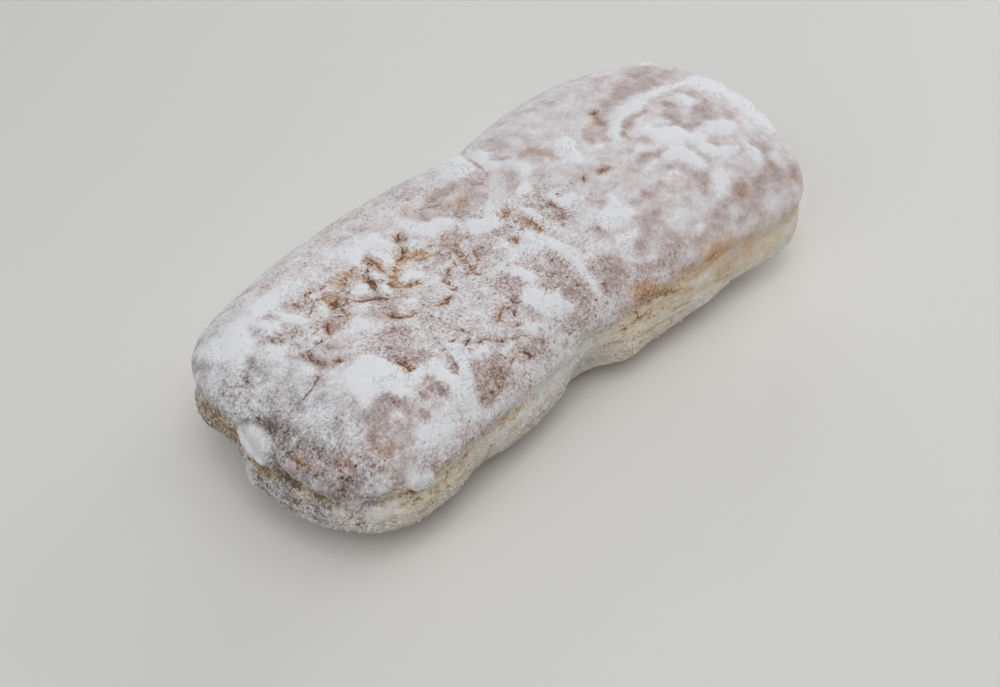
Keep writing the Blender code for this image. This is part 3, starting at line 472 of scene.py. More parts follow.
# Bare dough on the side: the corners of the outline, how soft its edge is and how bare it is.
BARE_PATCHES = (
    (((28, 21), (32, 22.6), (38, 22.6), (43, 21.9), (46, 20.7), (44, 19.9), (40, 20.2),
      (33, 20.4)), 0.6, 0.85),
    (((49, 20.2), (51, 20.3), (53, 19.6), (56, 19.8), (59, 18.9), (58.5, 18.1), (55, 18), (53.5, 17),
      (52, 16.2), (50.5, 17.8), (48.5, 18.2), (47, 19.6)), 0.5, 1.1),
    (((55.6, 26.2), (58, 26.4), (59.8, 24), (58.6, 21), (56, 20), (54.6, 20.4), (55.2, 23)), 0.7, 0.8),
    (((66, 19.9), (70, 19.8), (72, 18.6), (71, 16.8), (68.6, 17.4), (66.4, 18.6)), 0.6, 0.9),
    (((70, 23.6), (71, 23.4), (70.6, 20.2), (69, 20), (68.6, 21.6)), 0.6, 0.7),
    (((83.5, 18.8), (86, 19.3), (89, 19.3), (90.2, 18.2), (90.4, 16.4), (88.5, 15.4), (86.5, 16.4),
      (85, 17.5)), 0.5, 0.5),
    (((91, 18.2), (94, 18.3), (94.9, 16.9), (95, 15.5), (93.5, 16), (91.4, 16.7)), 0.5, 0.45),
    (((81, 17), (84, 16.2), (84.6, 14.6), (82.4, 14.2), (81, 15.2)), 0.5, 0.5),
    (((120, 18.6), (122, 19.4), (124.4, 17.8), (122.6, 16.8)), 0.6, 0.7),
    (((157.8, 18.6), (159.4, 18.4), (159.4, 15.4), (158.2, 15)), 0.7, 0.5),
    (((174, 16), (179, 16.4), (181.6, 15.4), (178, 14), (174.6, 14.2)), 0.8, 0.7),
    (((188, 16.6), (193, 15.4), (198, 13.2), (200, 10.4), (196, 11.4), (191, 14)), 1.0, 0.6),
    (((160, 13.2), (166, 13.8), (170, 13.4), (168, 12.2), (162, 12.2)), 0.6, 0.6),
    (((258, 19), (266, 20), (268, 16), (260, 15)), 2.0, 0.45),
    (((318, 18), (328, 19), (330, 15), (320, 14.6)), 2.0, 0.45),
    (((376, 19), (384, 19), (386, 15.4), (378, 15)), 2.0, 0.45),
    (((418, 18.4), (428, 19), (430, 15.6), (420, 15)), 2.0, 0.45),
)

# Orange-brown glow along the edge of the crust, in the same form.
GLOW_PATCHES = (
    (((159.6, 26.4), (162, 28.2), (166, 28.4), (169.6, 26.6), (173, 24.8), (172.6, 22.8), (169.6, 21.9),
      (167.6, 21), (165.4, 21.5), (162, 21.8), (159, 22.4), (161.6, 23.8)), 1.3, 0.9),
    (((161, 21.4), (176, 22), (181, 19.6), (172, 17), (162, 17.6)), 1.6, 0.46),
    (((186, 22), (204, 22), (208, 18), (200, 15), (190, 17)), 2.0, 0.4),
    (((171.4, 26.4), (178, 26.4), (180, 23.6), (176, 20.4), (172, 20.6)), 1.8, 0.5),
    (((183, 28.4), (187, 29.2), (190.4, 28), (195.6, 27.8), (198, 25.6), (201, 23), (199, 21.8),
      (195, 22.4), (191.4, 22), (188.4, 21.4), (185.4, 23.2), (183.4, 25.4)), 1.6, 1.0),
    (((199, 26), (204, 26.6), (209, 26.8), (207.6, 24.6), (200, 23.4)), 1.6, 0.35),
    (((205.4, 27.6), (213, 27.2), (214.4, 25.4), (206, 25.6)), 1.2, 0.45),
    (((220, 30.4), (225, 31.2), (224, 28.8), (220.6, 28.8)), 1.4, 0.4),
    (((213, 31), (231, 31), (231, 27.6), (214, 27.6)), 1.8, 0.22),
    (((229.6, 26), (233, 25.4), (232.4, 22.4), (229.4, 23)), 1.4, 0.5),
    (((102.2, 21.4), (104.2, 21.2), (104.4, 18), (102.8, 17.8)), 0.7, 0.7),
    (((82.6, 27.6), (85.4, 27.8), (85.6, 26.6), (83, 26.4)), 0.6, 0.8),
    (((91.6, 25.4), (94.4, 25.6), (95.6, 21), (93.6, 20.8)), 0.8, 0.55),
    (((62, 28), (66.6, 27.8), (66.6, 26.9), (62, 27.1)), 0.4, 0.8),
    (((51.2, 19.2), (53, 19.2), (53, 17.2), (51.6, 17.4)), 0.5, 0.4),
    (((242, 26), (252, 27), (254, 23), (244, 23)), 1.8, 0.5),
    (((268, 26), (284, 27), (284, 23), (270, 23)), 2.0, 0.5),
    (((298, 26), (314, 27), (314, 23.6), (300, 23.6)), 2.0, 0.45),
    (((338, 26), (360, 27), (360, 23.4), (340, 23.4)), 2.0, 0.45),
    (((396, 25.6), (418, 26), (418, 22.6), (398, 22.6)), 2.0, 0.4),
)

# Creases on the side: the points of a path along the rim and up, half-width and depth.
# The depth grooves the side and takes sugar away there: partly bare crust in the fold,
# partly painted shade in the crease.
SIDE_CREASES = (
    (((44.6, 25), (46.6, 27.2), (48.6, 27.9), (51, 28.6), (55, 28.9)), 0.4, 1.0),
    (((57, 28.5), (60, 28.3), (62, 27.8)), 0.4, 0.7),
    (((56, 20.1), (60, 19.9), (64, 19.8), (68, 19.9), (74, 19.5)), 0.35, 0.8),
    (((74, 19.5), (80, 19.6), (86, 19.6), (90, 19.3)), 0.3, 0.5),
    (((76, 15.3), (77.4, 15.1)), 0.35, 0.8),
    (((154, 14.2), (160, 14), (166, 13.6), (171, 12.8), (178, 12.2)), 0.3, 0.6),
)

# Broad places with more (+) or less (-) sugar than elsewhere, as centre, reach and cover: on
# the top, seen from above, and on the side, along the rim and up. Some dark places low on the
# side are painted shade, drawn as less sugar.
TOP_TONES = (
    ((-79, -15), (5, 6), -0.1),
    ((-80, -21.5), (4, 4), -0.08),
    ((-84, -1), (2.5, 5), -0.12),
    ((-76, -1), (4, 4.5), 0.08),
    ((-77, 13.5), (4, 3), -0.1),
    ((-69, -22.7), (5, 4), -0.12),
    ((-64.5, -29), (7, 4), -0.1),
    ((-56, -21.5), (4, 3), -0.1),
    ((-52, -31), (6, 4), -0.15),
    ((-37, -30.5), (6, 3), -0.12),
    ((-27, -33), (15, 2.3), 0.46),
    ((-38, -29), (13, 1.6), -0.13),
    ((17, -28), (5, 5), -0.12),
    ((4, -32), (6, 4), -0.16),
    ((14, -35), (4, 3), 0.06),
    ((46, -33.5), (6, 4), -0.08),
    ((33, -38.6), (10, 2), 0.09),
    ((54, -39.8), (7, 2.2), 0.14),
    ((59, -37), (9, 2.4), -0.24),
    ((-84, 17), (3, 5), -0.1),
    ((25, -34), (4, 3), 0.1),
    ((56, -10), (4, 3), 0.08),
    ((70, 20), (5, 4), -0.08),
    ((7, 14), (5, 9), 0.06),
    ((-1, 6), (6, 5), 0.08),
    ((-21, 2), (3, 3), 0.06),
    ((-28, 14), (4, 3), 0.05),
    ((-49, 14), (4, 3), -0.07),
    ((-62, 22), (9, 5), 0.08),
)
SIDE_TONES = (
    # Painted shade: the dark gap low under the near end's left side, drawn as less sugar.
    ((30, 14), (12, 4), -0.45),
    ((34, 19.5), (6, 4), -0.12),
    ((44, 19.5), (9, 3), -0.12),
    ((52, 13), (9, 5), -0.13),
    ((60, 17.5), (8, 4), -0.06),
    ((67, 11), (6, 3), -0.14),
    ((80, 16.5), (9, 5), 0.19),
    ((88, 17), (7, 4.5), 0.08),
    ((108, 18), (11, 6), 0.26),
    ((128, 21.5), (10, 3), 0.2),
    ((133, 18.5), (15, 6), 0.46),
    ((146, 16), (8, 6), 0.36),
    ((143, 22), (14, 2.6), 0.22),
    # Painted shade: darker low on the side at the right waist, for the contact shadow there.
    ((163, 9), (6, 3), -0.2),
    ((174, 17), (8, 3), 0.12),
    # Painted shade: darker low on the side past the waist, for the contact shadow there.
    ((174, 10), (6, 3), -0.14),
    ((203, 18), (12, 3.5), 0.1),
    ((196, 21), (8, 3.5), 0.22),
    ((189, 9.5), (6, 3), 0.22),
    ((212, 22), (8, 3.5), 0.34),
    ((222, 16), (7, 4), 0.1),
    ((231, 18.5), (5, 4), -0.25),
)

# Where the near end's crust is pinkish brown and not grey, in the same form.
PINK_PLACES = (
    ((-80.5, -21), (2.5, 2.5), 0.9),
    ((-73, -26.5), (4, 2.5), 0.9),
    ((-69, -22.5), (5, 4), 1),
    ((-84.5, -12), (1.8, 2.5), 0.7),
    ((-74, -22), (3, 3), 0.8),
    ((-82.5, -16), (1.6, 1.6), 0.6),
)

# Where the powder is coarse and speckled, seen from above: the points of a path, how far to
# both sides of it, and how coarse.
COARSE_STROKES = (
    (((-60, 12), (-40, 11), (-22, 5), (-4, -2), (6, -4)), 9.0, 1.0),
    (((-52, -12), (-30, -12), (-8, -14)), 12.0, 1.0),
    (((-46, -24), (-24, -24), (-10, -22)), 7.0, 1.0),
    (((-82, 10), (-82, -12), (-81, -22)), 8.0, 0.7),
    (((-64, -33), (-50, -32), (-24, -31), (-6, -31)), 5.0, 1.0),
    (((-2, -33), (8, -35), (16, -37)), 6.0, 0.6),
    (((-60, 30), (-30, 34), (-5, 33)), 9.0, 0.5),
)

# How far noise bends the edges of the patches on the top, of those on the side, of the
# wrinkles and of the pits, as wavelength and distance.
EDGE_BENDS = ((7.0, 0.5), (2.4, 0.7), (1.1, 0.45))
SIDE_BENDS = ((5.0, 0.4), (1.8, 0.4), (0.9, 0.25))
WRINKLE_BENDS = ((3.0, 0.35), (1.4, 0.2))
PIT_BENDS = ((1.5, 0.3),)

# Stretches of the rim, as where they start, are full, begin to fade and end: the near lobe's
# right side, where the sugar there is most streaked, the far lobe's right side, and where
# most crumbs lie.
NEAR_RIGHT_SIDE = (92.0, 102.0, 150.0, 160.0)
STREAKED_SIDE = (92.0, 104.0, 150.0, 162.0)
FAR_RIGHT_SIDE = (156.0, 168.0, 208.0, 226.0)
CRUMBLY_SIDE = (60.0, 74.0, 150.0, 172.0)

# Stretches of height in the same form: the glow about the end of the brown, and the edge
# that flakes stick out of.
GLOWING_EDGE = (-5.5, -1.0, 1.0, 5.5)
FLAKED_EDGE = (4.5, 7.0, 9.0, 17.0)

# Where things come in, as where they start and where they are full: along the doughnut,
# across it, along the rim, above or below the fold, and above the plate.
NEAR_END = (-58.0, -76.0)
MOTTLED_END = (-66.0, -78.0)
NEAR_LOBE = (-30.0, -60.0)
FAR_LOBE = (0.0, 30.0)
CLUMPY_LOBE = (50.0, 10.0)
ROLL_ACROSS = (7.0, -5.0)
ROLL_PAST_CORNER = (-29.0, -22.0)
DUSTY_SIDE = (92.0, 74.0)
DUSTIEST_SIDE = (38.0, 58.0)
ROLL_OVER_FOLD = (13.0, 6.5)
SHELF_UNDER_FOLD = (-6.0, -9.0)
RELIEF_HEIGHT = (0.0, 3.0)
SUGAR_HEIGHT = (4.0, 9.0)
CRUMB_HEIGHT = (4.0, 8.0)

# Loose pieces: how many are tried, their least and greatest half-size, how far they may be
# stretched, and the seed of their random places. They lie above the lowest height, and
# stick out by this share of their size.
LOWEST_PIECE = 0.5
STICKS_OUT = 0.3
LOOSE_PIECES = {
    "sugar_grains": (24000, (0.07, 0.16), 1.3, 51),
    "sugar_clumps": (2400, (0.16, 0.42), 1.4, 52),
    "edge_flakes": (5500, (0.12, 0.33), 3.4, 53),
    "crumbs": (1200, (0.16, 0.42), 1.8, 54),
}

# Colours of the brown crust, the orange crust, the pale side and the dusty near end under
# more and more sugar, at these covers.
COVER_STOPS = (0.0, 0.15, 0.32, 0.52, 0.75, 0.97)
WHITE_SUGAR = (0.90, 0.90, 0.912)
BROWN_UNDER_SUGAR = (
    (0.14, 0.072, 0.052), (0.29, 0.185, 0.15), (0.43, 0.325, 0.298), (0.60, 0.505, 0.49),
    (0.78, 0.728, 0.725), WHITE_SUGAR,
)
ORANGE_UNDER_SUGAR = (
    (0.25, 0.11, 0.05), (0.43, 0.225, 0.115), (0.60, 0.352, 0.19), (0.72, 0.482, 0.305),
    (0.79, 0.67, 0.57), WHITE_SUGAR,
)
SIDE_UNDER_SUGAR = (
    (0.36, 0.26, 0.13), (0.55, 0.43, 0.25), (0.74, 0.59, 0.39), (0.845, 0.728, 0.56),
    (0.88, 0.81, 0.715), (0.888, 0.88, 0.855),
)
DUSTY_UNDER_SUGAR = (
    (0.13, 0.095, 0.07), (0.25, 0.216, 0.20), (0.375, 0.346, 0.34), (0.535, 0.511, 0.514),
    (0.735, 0.731, 0.744), WHITE_SUGAR,
)


def smooth_step(low, high, value):
    t = np.clip((value - low) / (high - low), 0.0, 1.0)
    return t * t * (3 - 2 * t)


def between(stretch, value):
    """1 where a stretch is full and 0 outside it."""
    start, full, fading, end = stretch
    return smooth_step(start, full, value) * smooth_step(end, fading, value)


def cloud(points, wavelength, seed, octaves=3):
    """Fractal noise from about -1 to 1, with that wavelength, or one for each axis."""
    places = points / np.array(wavelength) + seed * np.array((17.3, -9.1, 5.7))
    return np.array([noise.fractal(place, 0.9, 2.1, octaves) for place in places])


def bent(places, points, bends, seed):
    """The places, moved about by noise so that what is drawn there gets ragged edges."""
    moved = places[:, :2].copy()
    for wavelength, distance in bends:
        for axis in (0, 1):
            moved[:, axis] += distance * cloud(points, wavelength, seed + axis + 1, octaves=2)
    return moved


def along_path(places, path):
    """How far along a path each place is, and its distance from it, below zero on its right."""
    corners = np.array(path, float)
    nearest = np.full(len(places), np.inf)
    signed = nearest.copy()
    along = np.zeros(len(places))
    passed = 0.0
    for start, end in zip(corners[:-1], corners[1:]):
        step = end - start
        length = np.hypot(*step)
        share = np.clip(((places[:, :2] - start) @ step) / length ** 2, 0.0, 1.0)
        away = places[:, :2] - start - share[:, None] * step
        distance = np.hypot(away[:, 0], away[:, 1])
        side = np.where(step[0] * away[:, 1] - step[1] * away[:, 0] < 0, -1.0, 1.0)
        closer = distance < nearest
        nearest = np.where(closer, distance, nearest)
        signed = np.where(closer, side * distance, signed)
        along = np.where(closer, passed + share * length, along)
        passed += length
    return along, signed


def path_distance(places, path):
    """Distance to a path, below zero on its right."""
    return along_path(places, path)[1]


def rim_places(points):
    """How far along the rim each point is, and its height."""
    along = along_path(points, RIM + RIM[:1])[0]
    return np.column_stack((along, points[:, 2]))


def outline_distance(places, outline):
    """Distance to a closed outline, below zero inside it."""
    path = outline + outline[:1]
    distance = np.abs(path_distance(places, path))
    inside = np.zeros(len(places), bool)
    for (x, y), (next_x, next_y) in zip(path[:-1], path[1:]):
        crossed = (y > places[:, 1]) != (next_y > places[:, 1])
        slope = (next_x - x) / (next_y - y) if next_y != y else 0.0
        inside ^= crossed & (places[:, 0] < x + (places[:, 1] - y) * slope)
    return np.where(inside, -distance, distance)


def patch_amount(places, outline, softness):
    """1 inside an outline and 0 outside it, with a soft edge."""
    amount = np.zeros(len(places))
    corners = np.array(outline, float)
    low, high = corners.min(axis=0) - softness, corners.max(axis=0) + softness
    near = ((places > low) & (places < high)).all(axis=1)
    distance = outline_distance(places[near], outline)
    amount[near] = smooth_step(softness, -softness, distance)
    return amount


def most_of(places, patches):
    """The most that any patch leaves at each place, in a row for each of the patches' amounts."""
    most = np.zeros((len(patches[0]) - 2, len(places)))
    for outline, softness, *amounts in patches:
        most = np.maximum(most, np.outer(amounts, patch_amount(places, outline, softness)))
    return most


def places_amount(points, places):
    """Sum of soft places: their amount at the centre, fading out past their reach."""
    amount = np.zeros(len(points))
    for centre, reach, strength in places:
        away = (points[:, :2] - np.array(centre)) / np.array(reach)
        amount += strength * np.exp(-(away ** 2).sum(axis=1))
    return amount


def strokes_amount(points, strokes):
    """The most that any of the strokes leaves at each point, from 0 to 1."""
    amount = np.zeros(len(points))
    for path, reach, strength in strokes:
        near = np.abs(path_distance(points, path)) / reach
        amount = np.maximum(amount, strength * smooth_step(1.5, 0.5, near))
    return amount


def wrinkle_fields(points):
    """Side of the nearest wrinkle in half-widths, its depth of colour, its orange, its groove."""
    side = np.full(len(points), 4.0)
    nearest = np.full(len(points), np.inf)
    depth, orange, groove = np.zeros((3, len(points)))
    for path, half_width, dark, warm in WRINKLES:
        signed = path_distance(points, path)
        distance = np.abs(signed)
        closer = distance / half_width < nearest
        nearest = np.where(closer, distance / half_width, nearest)
        side = np.where(closer, np.clip(signed / half_width, -4.0, 4.0), side)
        depth = np.maximum(depth, dark * smooth_step(half_width + 1.1, half_width + 0.5, distance))
        orange = np.maximum(orange, 0.75 * warm * smooth_step(half_width + 1.6, half_width, distance))
        groove = np.maximum(groove, dark * np.exp(-(distance / (half_width + 0.4)) ** 2))
    return side, depth, orange, groove


def crease_depth(side_places):
    """How deep the creases on the side are at each place."""
    crease = np.zeros(len(side_places))
    for path, half_width, depth in SIDE_CREASES:
        distance = np.abs(path_distance(side_places, path))
        crease = np.maximum(crease, depth * smooth_step(half_width + 0.5, half_width - 0.2, distance))
    return crease


def read_vectors(items, name):
    values = np.empty(len(items) * 3, np.float32)
    items.foreach_get(name, values)
    return values.reshape(-1, 3).astype(float)


def read_points(mesh):
    return read_vectors(mesh.vertices, "co") / MM


def read_normals(mesh):
    return read_vectors(mesh.vertex_normals, "vector")


def read_attribute(mesh, name):
    values = np.empty(len(mesh.vertices), np.float32)
    mesh.attributes[name].data.foreach_get("value", values)
    return values.astype(float)


def write_attribute(mesh, name, values):
    attribute = mesh.attributes.new(name, "FLOAT", "POINT")
    attribute.data.foreach_set("value", np.asarray(values, np.float32))


def solid_box():
    """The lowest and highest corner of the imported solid."""
    return (np.array(corner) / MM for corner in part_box(NODE))


def link(name, data):
    piece = bpy.data.objects.new(name, data)
    bpy.context.scene.collection.objects.link(piece)
    return piece


def fine_form(node):
    """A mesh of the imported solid, its triangles paired and smoothly divided into finer ones."""
    coarse = bmesh.new()
    coarse.from_mesh(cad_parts[node].data)
    bmesh.ops.remove_doubles(coarse, verts=coarse.verts, dist=1e-6)
    pairing = math.radians(60)
    bmesh.ops.join_triangles(
        coarse, faces=coarse.faces, angle_face_threshold=pairing, angle_shape_threshold=pairing)
    mesh = bpy.data.meshes.new("coarse_crust")
    coarse.to_mesh(mesh)
    coarse.free()
    piece = link("coarse_crust", mesh)
    divide = piece.modifiers.new("divide", "SUBSURF")
    divide.levels = 2
    divide.render_levels = 2
    evaluated = piece.evaluated_get(bpy.context.evaluated_depsgraph_get())
    fine = bpy.data.meshes.new_from_object(evaluated)
    fine.name = "crust"
    bpy.data.objects.remove(piece)
    for attribute in [item for item in fine.attributes if item.name == "custom_normal"]:
        fine.attributes.remove(attribute)
    fine.materials.clear()
    fine.shade_smooth()
    return fine


def regions(points):
    """Where each point lies: its place on the side, its height over the fold, and its shares."""
    at = SimpleNamespace()
    ragged = 1.2 * cloud(points, 5.0, seed=3, octaves=4)
    at.above_fold = points[:, 2] - FOLD_LEVEL - places_amount(points, FOLD_RISES)
    at.side_places = bent(rim_places(points), points, SIDE_BENDS, seed=31)
    at.along = at.side_places[:, 0]
    at.near_right = between(NEAR_RIGHT_SIDE, at.along)
    at.far_right = between(FAR_RIGHT_SIDE, at.along)
    at.above_end = at.above_fold - places_amount(points, BROWN_END_RISES)
    at.above_end += ragged * (1 + at.near_right)
    brown_starts = -2.2 - 2.5 * at.near_right - 0.4 * at.far_right
    brown_is_full = 2.0 + 3.0 * at.near_right + 2.0 * at.far_right
    at.on_crust = smooth_step(brown_starts, brown_is_full, at.above_end)
    at.off_crust = 1 - at.on_crust
    at.shelf = smooth_step(*SHELF_UNDER_FOLD, at.above_fold + 0.7 * ragged)
    at.near_end = smooth_step(*NEAR_END, points[:, 0])
    at.bare = most_of(at.side_places, BARE_PATCHES)[0]
    return at


def sugar_on_top(points, thin):
    """Cover of sugar on the top, from 0 for bare crust to 1 for caked sugar."""
    thick = most_of(bent(points, points, EDGE_BENDS, seed=0), WHITE_PATCHES)[0]
    patches = cloud(points, 16.0, seed=7)
    blotches = cloud(points, 4.5, seed=8, octaves=4)
    specks = cloud(points, 1.9, seed=9)
    mottling = (1 - 0.75 * thick) * (1 + 0.9 * smooth_step(*MOTTLED_END, points[:, 0]))
    cover = 0.73 + mottling * (0.05 * patches + 0.13 * blotches + 0.07 * specks)
    cover += 0.32 * thick - 0.25 * thin * (1 - 0.8 * thick)
    return cover + places_amount(points, TOP_TONES)


def sugar_on_side(points, at):
    """Cover of sugar on the pale side, thicker on the lower shelf."""
    blotches = cloud(points, 4.5, seed=14, octaves=4)
    streaks = cloud(points, (7.0, 7.0, 1.3), seed=15)
    near_lobe = smooth_step(*NEAR_LOBE, points[:, 0])
    streaked = between(STREAKED_SIDE, at.along)
    cover = 0.50 - 0.04 * near_lobe + (0.22 - 0.12 * near_lobe) * at.shelf
    cover += (0.14 + 0.12 * streaked) * blotches + (0.16 + 0.06 * streaked) * streaks
    cover += places_amount(at.side_places, SIDE_TONES)
    return cover * (1 - 0.75 * at.bare)


def near_end_roll(points, at):
    """The shaded roll over the near end, where less sugar lies: thinner sugar, and in part painted shade
    where the roll curves under.
    """
    roll = at.near_end * at.on_crust * smooth_step(*ROLL_OVER_FOLD, at.above_fold)
    roll *= smooth_step(*ROLL_ACROSS, points[:, 1])
    return roll * (0.35 + 0.65 * smooth_step(*ROLL_PAST_CORNER, points[:, 1]))


def add_caked_lumps(sugar, side_places):
    """The sugar with the caked lumps in it, how caked each place is and how far it stands out."""
    caked, height = np.zeros((2, len(side_places)))
    for outline, softness, stands_out, cover in CAKED_LUMPS:
        amount = patch_amount(side_places, outline, softness)
        caked = np.maximum(caked, amount)
        height = np.maximum(height, stands_out * amount)
        sugar = (1 - amount) * sugar + amount * cover
    return sugar, caked, height


def edge_glow(points, at):
    """How much the edge of the crust glows orange-brown."""
    patches = most_of(at.side_places, GLOW_PATCHES)[0]
    everywhere = (0.22 + 0.34 * at.far_right) * between(GLOWING_EDGE, at.above_end)
    unevenness = 1 + 0.5 * cloud(points, 4.0, seed=4)
    return np.clip(np.maximum(patches, everywhere) * unevenness, 0.0, 1.0)


def dusty_share(points, at):
    """How much of the crust has the grey, dusty colours of the near end."""
    side = at.off_crust * smooth_step(*DUSTY_SIDE, at.along) * (1 - 0.5 * at.bare)
    side *= 0.7 + 0.3 * smooth_step(*DUSTIEST_SIDE, at.along)
    dusty = at.near_end * (side + 0.85 * at.on_crust) + 0.12 * at.near_right * at.off_crust
    pink = np.clip(places_amount(points, PINK_PLACES), 0.0, 1.0)
    return np.clip(dusty * (1 - pink), 0.0, 1.0)


def coarse_powder(points, at, groove):
    """How speckled the powder is: 0 on the smooth swellings, 1 in the valley and low down."""
    far = smooth_step(*FAR_LOBE, points[:, 0])
    amount = 0.34 + 0.5 * strokes_amount(points, COARSE_STROKES) + 0.3 * groove
    amount += 0.4 * at.off_crust + 0.05 * at.near_end
    return np.clip(amount - far * (0.34 + 0.3 * at.off_crust), 0.0, 1.0)


def fine_relief(points, at, sugar, groove, pits):
    """How far caked sugar, crumb and layers stand out, less the wrinkles, pits and the fold."""
    cake = smooth_step(0.84, 1.04, sugar)
    crumb = cloud(points, 1.5, seed=9)
    blotches = cloud(points, 4.5, seed=8, octaves=4)
    layers = cloud(points, (9.0, 9.0, 1.5), seed=12)
    fold = np.exp(-((at.above_fold + 0.6) / 0.9) ** 2)
    on_top = 0.40 * cake + 0.14 * blotches + 0.10 * crumb - 0.5 * groove - 0.35 * pits
    on_side = 0.25 * crumb + 0.35 * layers + 0.15 * cake
    return at.on_crust * on_top + at.off_crust * on_side - (0.25 + 0.75 * at.near_end) * fold


def crust_fields(points):
    """What the crust's material reads at each point, and how far its relief stands out."""
    at = regions(points)
    thin, orange_top = most_of(bent(points, points, EDGE_BENDS, seed=5), THIN_PATCHES)
    side, depth, warm, groove = wrinkle_fields(bent(points, points, WRINKLE_BENDS, seed=11))
    pits = places_amount(bent(points, points, PIT_BENDS, seed=21), DARK_PITS)
    pits = np.clip(pits, 0.0, 1.2)
    crease = crease_depth(at.side_places)
    glow = edge_glow(points, at)
    sugar = at.on_crust * sugar_on_top(points, thin) + at.off_crust * sugar_on_side(points, at)
    # Less sugar at the edge's glow and on the near end's roll, where it is in part painted shade.
    sugar -= (0.30 - 0.04 * at.far_right) * glow + 0.32 * near_end_roll(points, at)
    sugar, caked, lumps = add_caked_lumps(sugar, at.side_places)
    # The side's creases lose sugar: partly bare crust, partly painted shade in them.
    sugar -= (0.32 * pits + 0.08 * depth + 0.12 * warm) * at.on_crust + 0.34 * crease
    relief = fine_relief(points, at, sugar, groove, pits) + lumps - 0.35 * at.bare - 0.5 * crease
    fields = {
        "sugar": np.clip(sugar, 0.0, 1.15),
        "browned": at.on_crust,
        "orange": np.clip(np.maximum(warm, orange_top) * at.on_crust + glow, 0.0, 1.0),
        "dusty": dusty_share(points, at),
        "coarse": coarse_powder(points, at, groove) * (1 - 0.8 * caked),
        "wrinkle_side": side,
        "wrinkle_depth": depth * at.on_crust,
    }
    return fields, relief - 0.3


def add_crust():
    mesh = fine_form(NODE)
    points = read_points(mesh)
    fields, relief = crust_fields(points)
    above_rest = smooth_step(*RELIEF_HEIGHT, points[:, 2])
    points = np.clip(points + read_normals(mesh) * (relief * above_rest)[:, None], *solid_box())
    mesh.vertices.foreach_set("co", (points * MM).astype(np.float32).ravel())
    for name, values in fields.items():
        write_attribute(mesh, name, values)
    mesh.update()
    mesh.materials.append(crust_material())
    piece = link("crust", mesh)
    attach(piece, BODY)
    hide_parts(NODE)
    return piece


def weighted_places(mesh, weight, count, random):
    """Random places on a mesh, more of them where the weight is higher, and their normals."""
    mesh.calc_loop_triangles()
    corners = np.empty(len(mesh.loop_triangles) * 3, np.int32)
    mesh.loop_triangles.foreach_get("vertices", corners)
    corners = corners.reshape(-1, 3)
    points, outward = read_points(mesh), read_normals(mesh)
    sides = points[corners[:, 1:]] - points[corners[:, :1]]
    area = np.linalg.norm(np.cross(sides[:, 0], sides[:, 1]), axis=1)
    share = np.cumsum(area * weight[corners].mean(axis=1))
    chosen = corners[np.searchsorted(share, random.random(count) * share[-1])]
    mixing = random.dirichlet((1.0, 1.0, 1.0), count)[:, :, None]
    return (points[chosen] * mixing).sum(axis=1), (outward[chosen] * mixing).sum(axis=1)


def turned_at_random(count, random):
    """One random rotation for each of the grains."""
    spin = random.normal(size=(count, 4))
    w, x, y, z = (spin / np.linalg.norm(spin, axis=1, keepdims=True)).T
    return np.stack((
        np.stack((1 - 2 * (y * y + z * z), 2 * (x * y - z * w), 2 * (x * z + y * w)), axis=1),
        np.stack((2 * (x * y + z * w), 1 - 2 * (x * x + z * z), 2 * (y * z - x * w)), axis=1),
        np.stack((2 * (x * z - y * w), 2 * (y * z + x * w), 1 - 2 * (x * x + y * y)), axis=1),
    ), axis=1)


def add_grains(name, crust, weight, material):
    """Grains of uneven eight-sided form, half sunk in the crust, joined in one mesh."""
    count, sizes, stretch, seed = LOOSE_PIECES[name]
    random = np.random.default_rng(seed)
    places, outward = weighted_places(crust.data, weight, count, random)
    size = random.uniform(*sizes, count)[:, None]
    low, high = solid_box()
    reach = sizes[1] * stretch
    kept = ((places > low + (reach, reach, LOWEST_PIECE)) & (places < high - reach)).all(axis=1)
    places, outward, size = (values[kept] for values in (places, outward, size))
    count = len(places)
    form = np.array(((1, 0, 0), (-1, 0, 0), (0, 1, 0), (0, -1, 0), (0, 0, 1), (0, 0, -1)), float)
    form = form[None] * random.uniform(0.55, 1.0, (count, 6, 1)) + random.normal(0.0, 0.12, (count, 6, 3))
    form[:, :, 2] *= random.uniform(1.0, stretch, (count, 1))
    form = np.einsum("nij,nkj->nki", turned_at_random(count, random), form) * size[:, None]
    points = form + (places + outward * size * STICKS_OUT)[:, None]
    sides = ((0, 2, 4), (2, 1, 4), (1, 3, 4), (3, 0, 4), (2, 0, 5), (1, 2, 5), (3, 1, 5), (0, 3, 5))
    faces = (np.array(sides)[None] + 6 * np.arange(count)[:, None, None]).reshape(-1, 3)
    mesh = bpy.data.meshes.new(name)
    mesh.from_pydata((points.reshape(-1, 3) * MM).tolist(), [], faces.tolist())
    mesh.materials.append(material)
    piece = link(name, mesh)
    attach(piece, BODY)


def add_loose_sugar(crust):
    """Fine grains and small clumps of sugar, thickest where the sugar is caked."""
    points = read_points(crust.data)
    sugar = read_attribute(crust.data, "sugar")
    low = smooth_step(*SUGAR_HEIGHT, points[:, 2])
    patchy = smooth_step(-0.2, 0.6, cloud(points, 6.0, seed=41))
    near = smooth_step(*CLUMPY_LOBE, points[:, 0])
    grains = (0.05 + smooth_step(0.6, 0.9, sugar)) * low
    clumps = smooth_step(0.75, 0.95, sugar) * patchy * low * (0.2 + 0.8 * near)
    add_grains("sugar_grains", crust, grains, sugar_material())
    add_grains("sugar_clumps", crust, clumps, sugar_material())


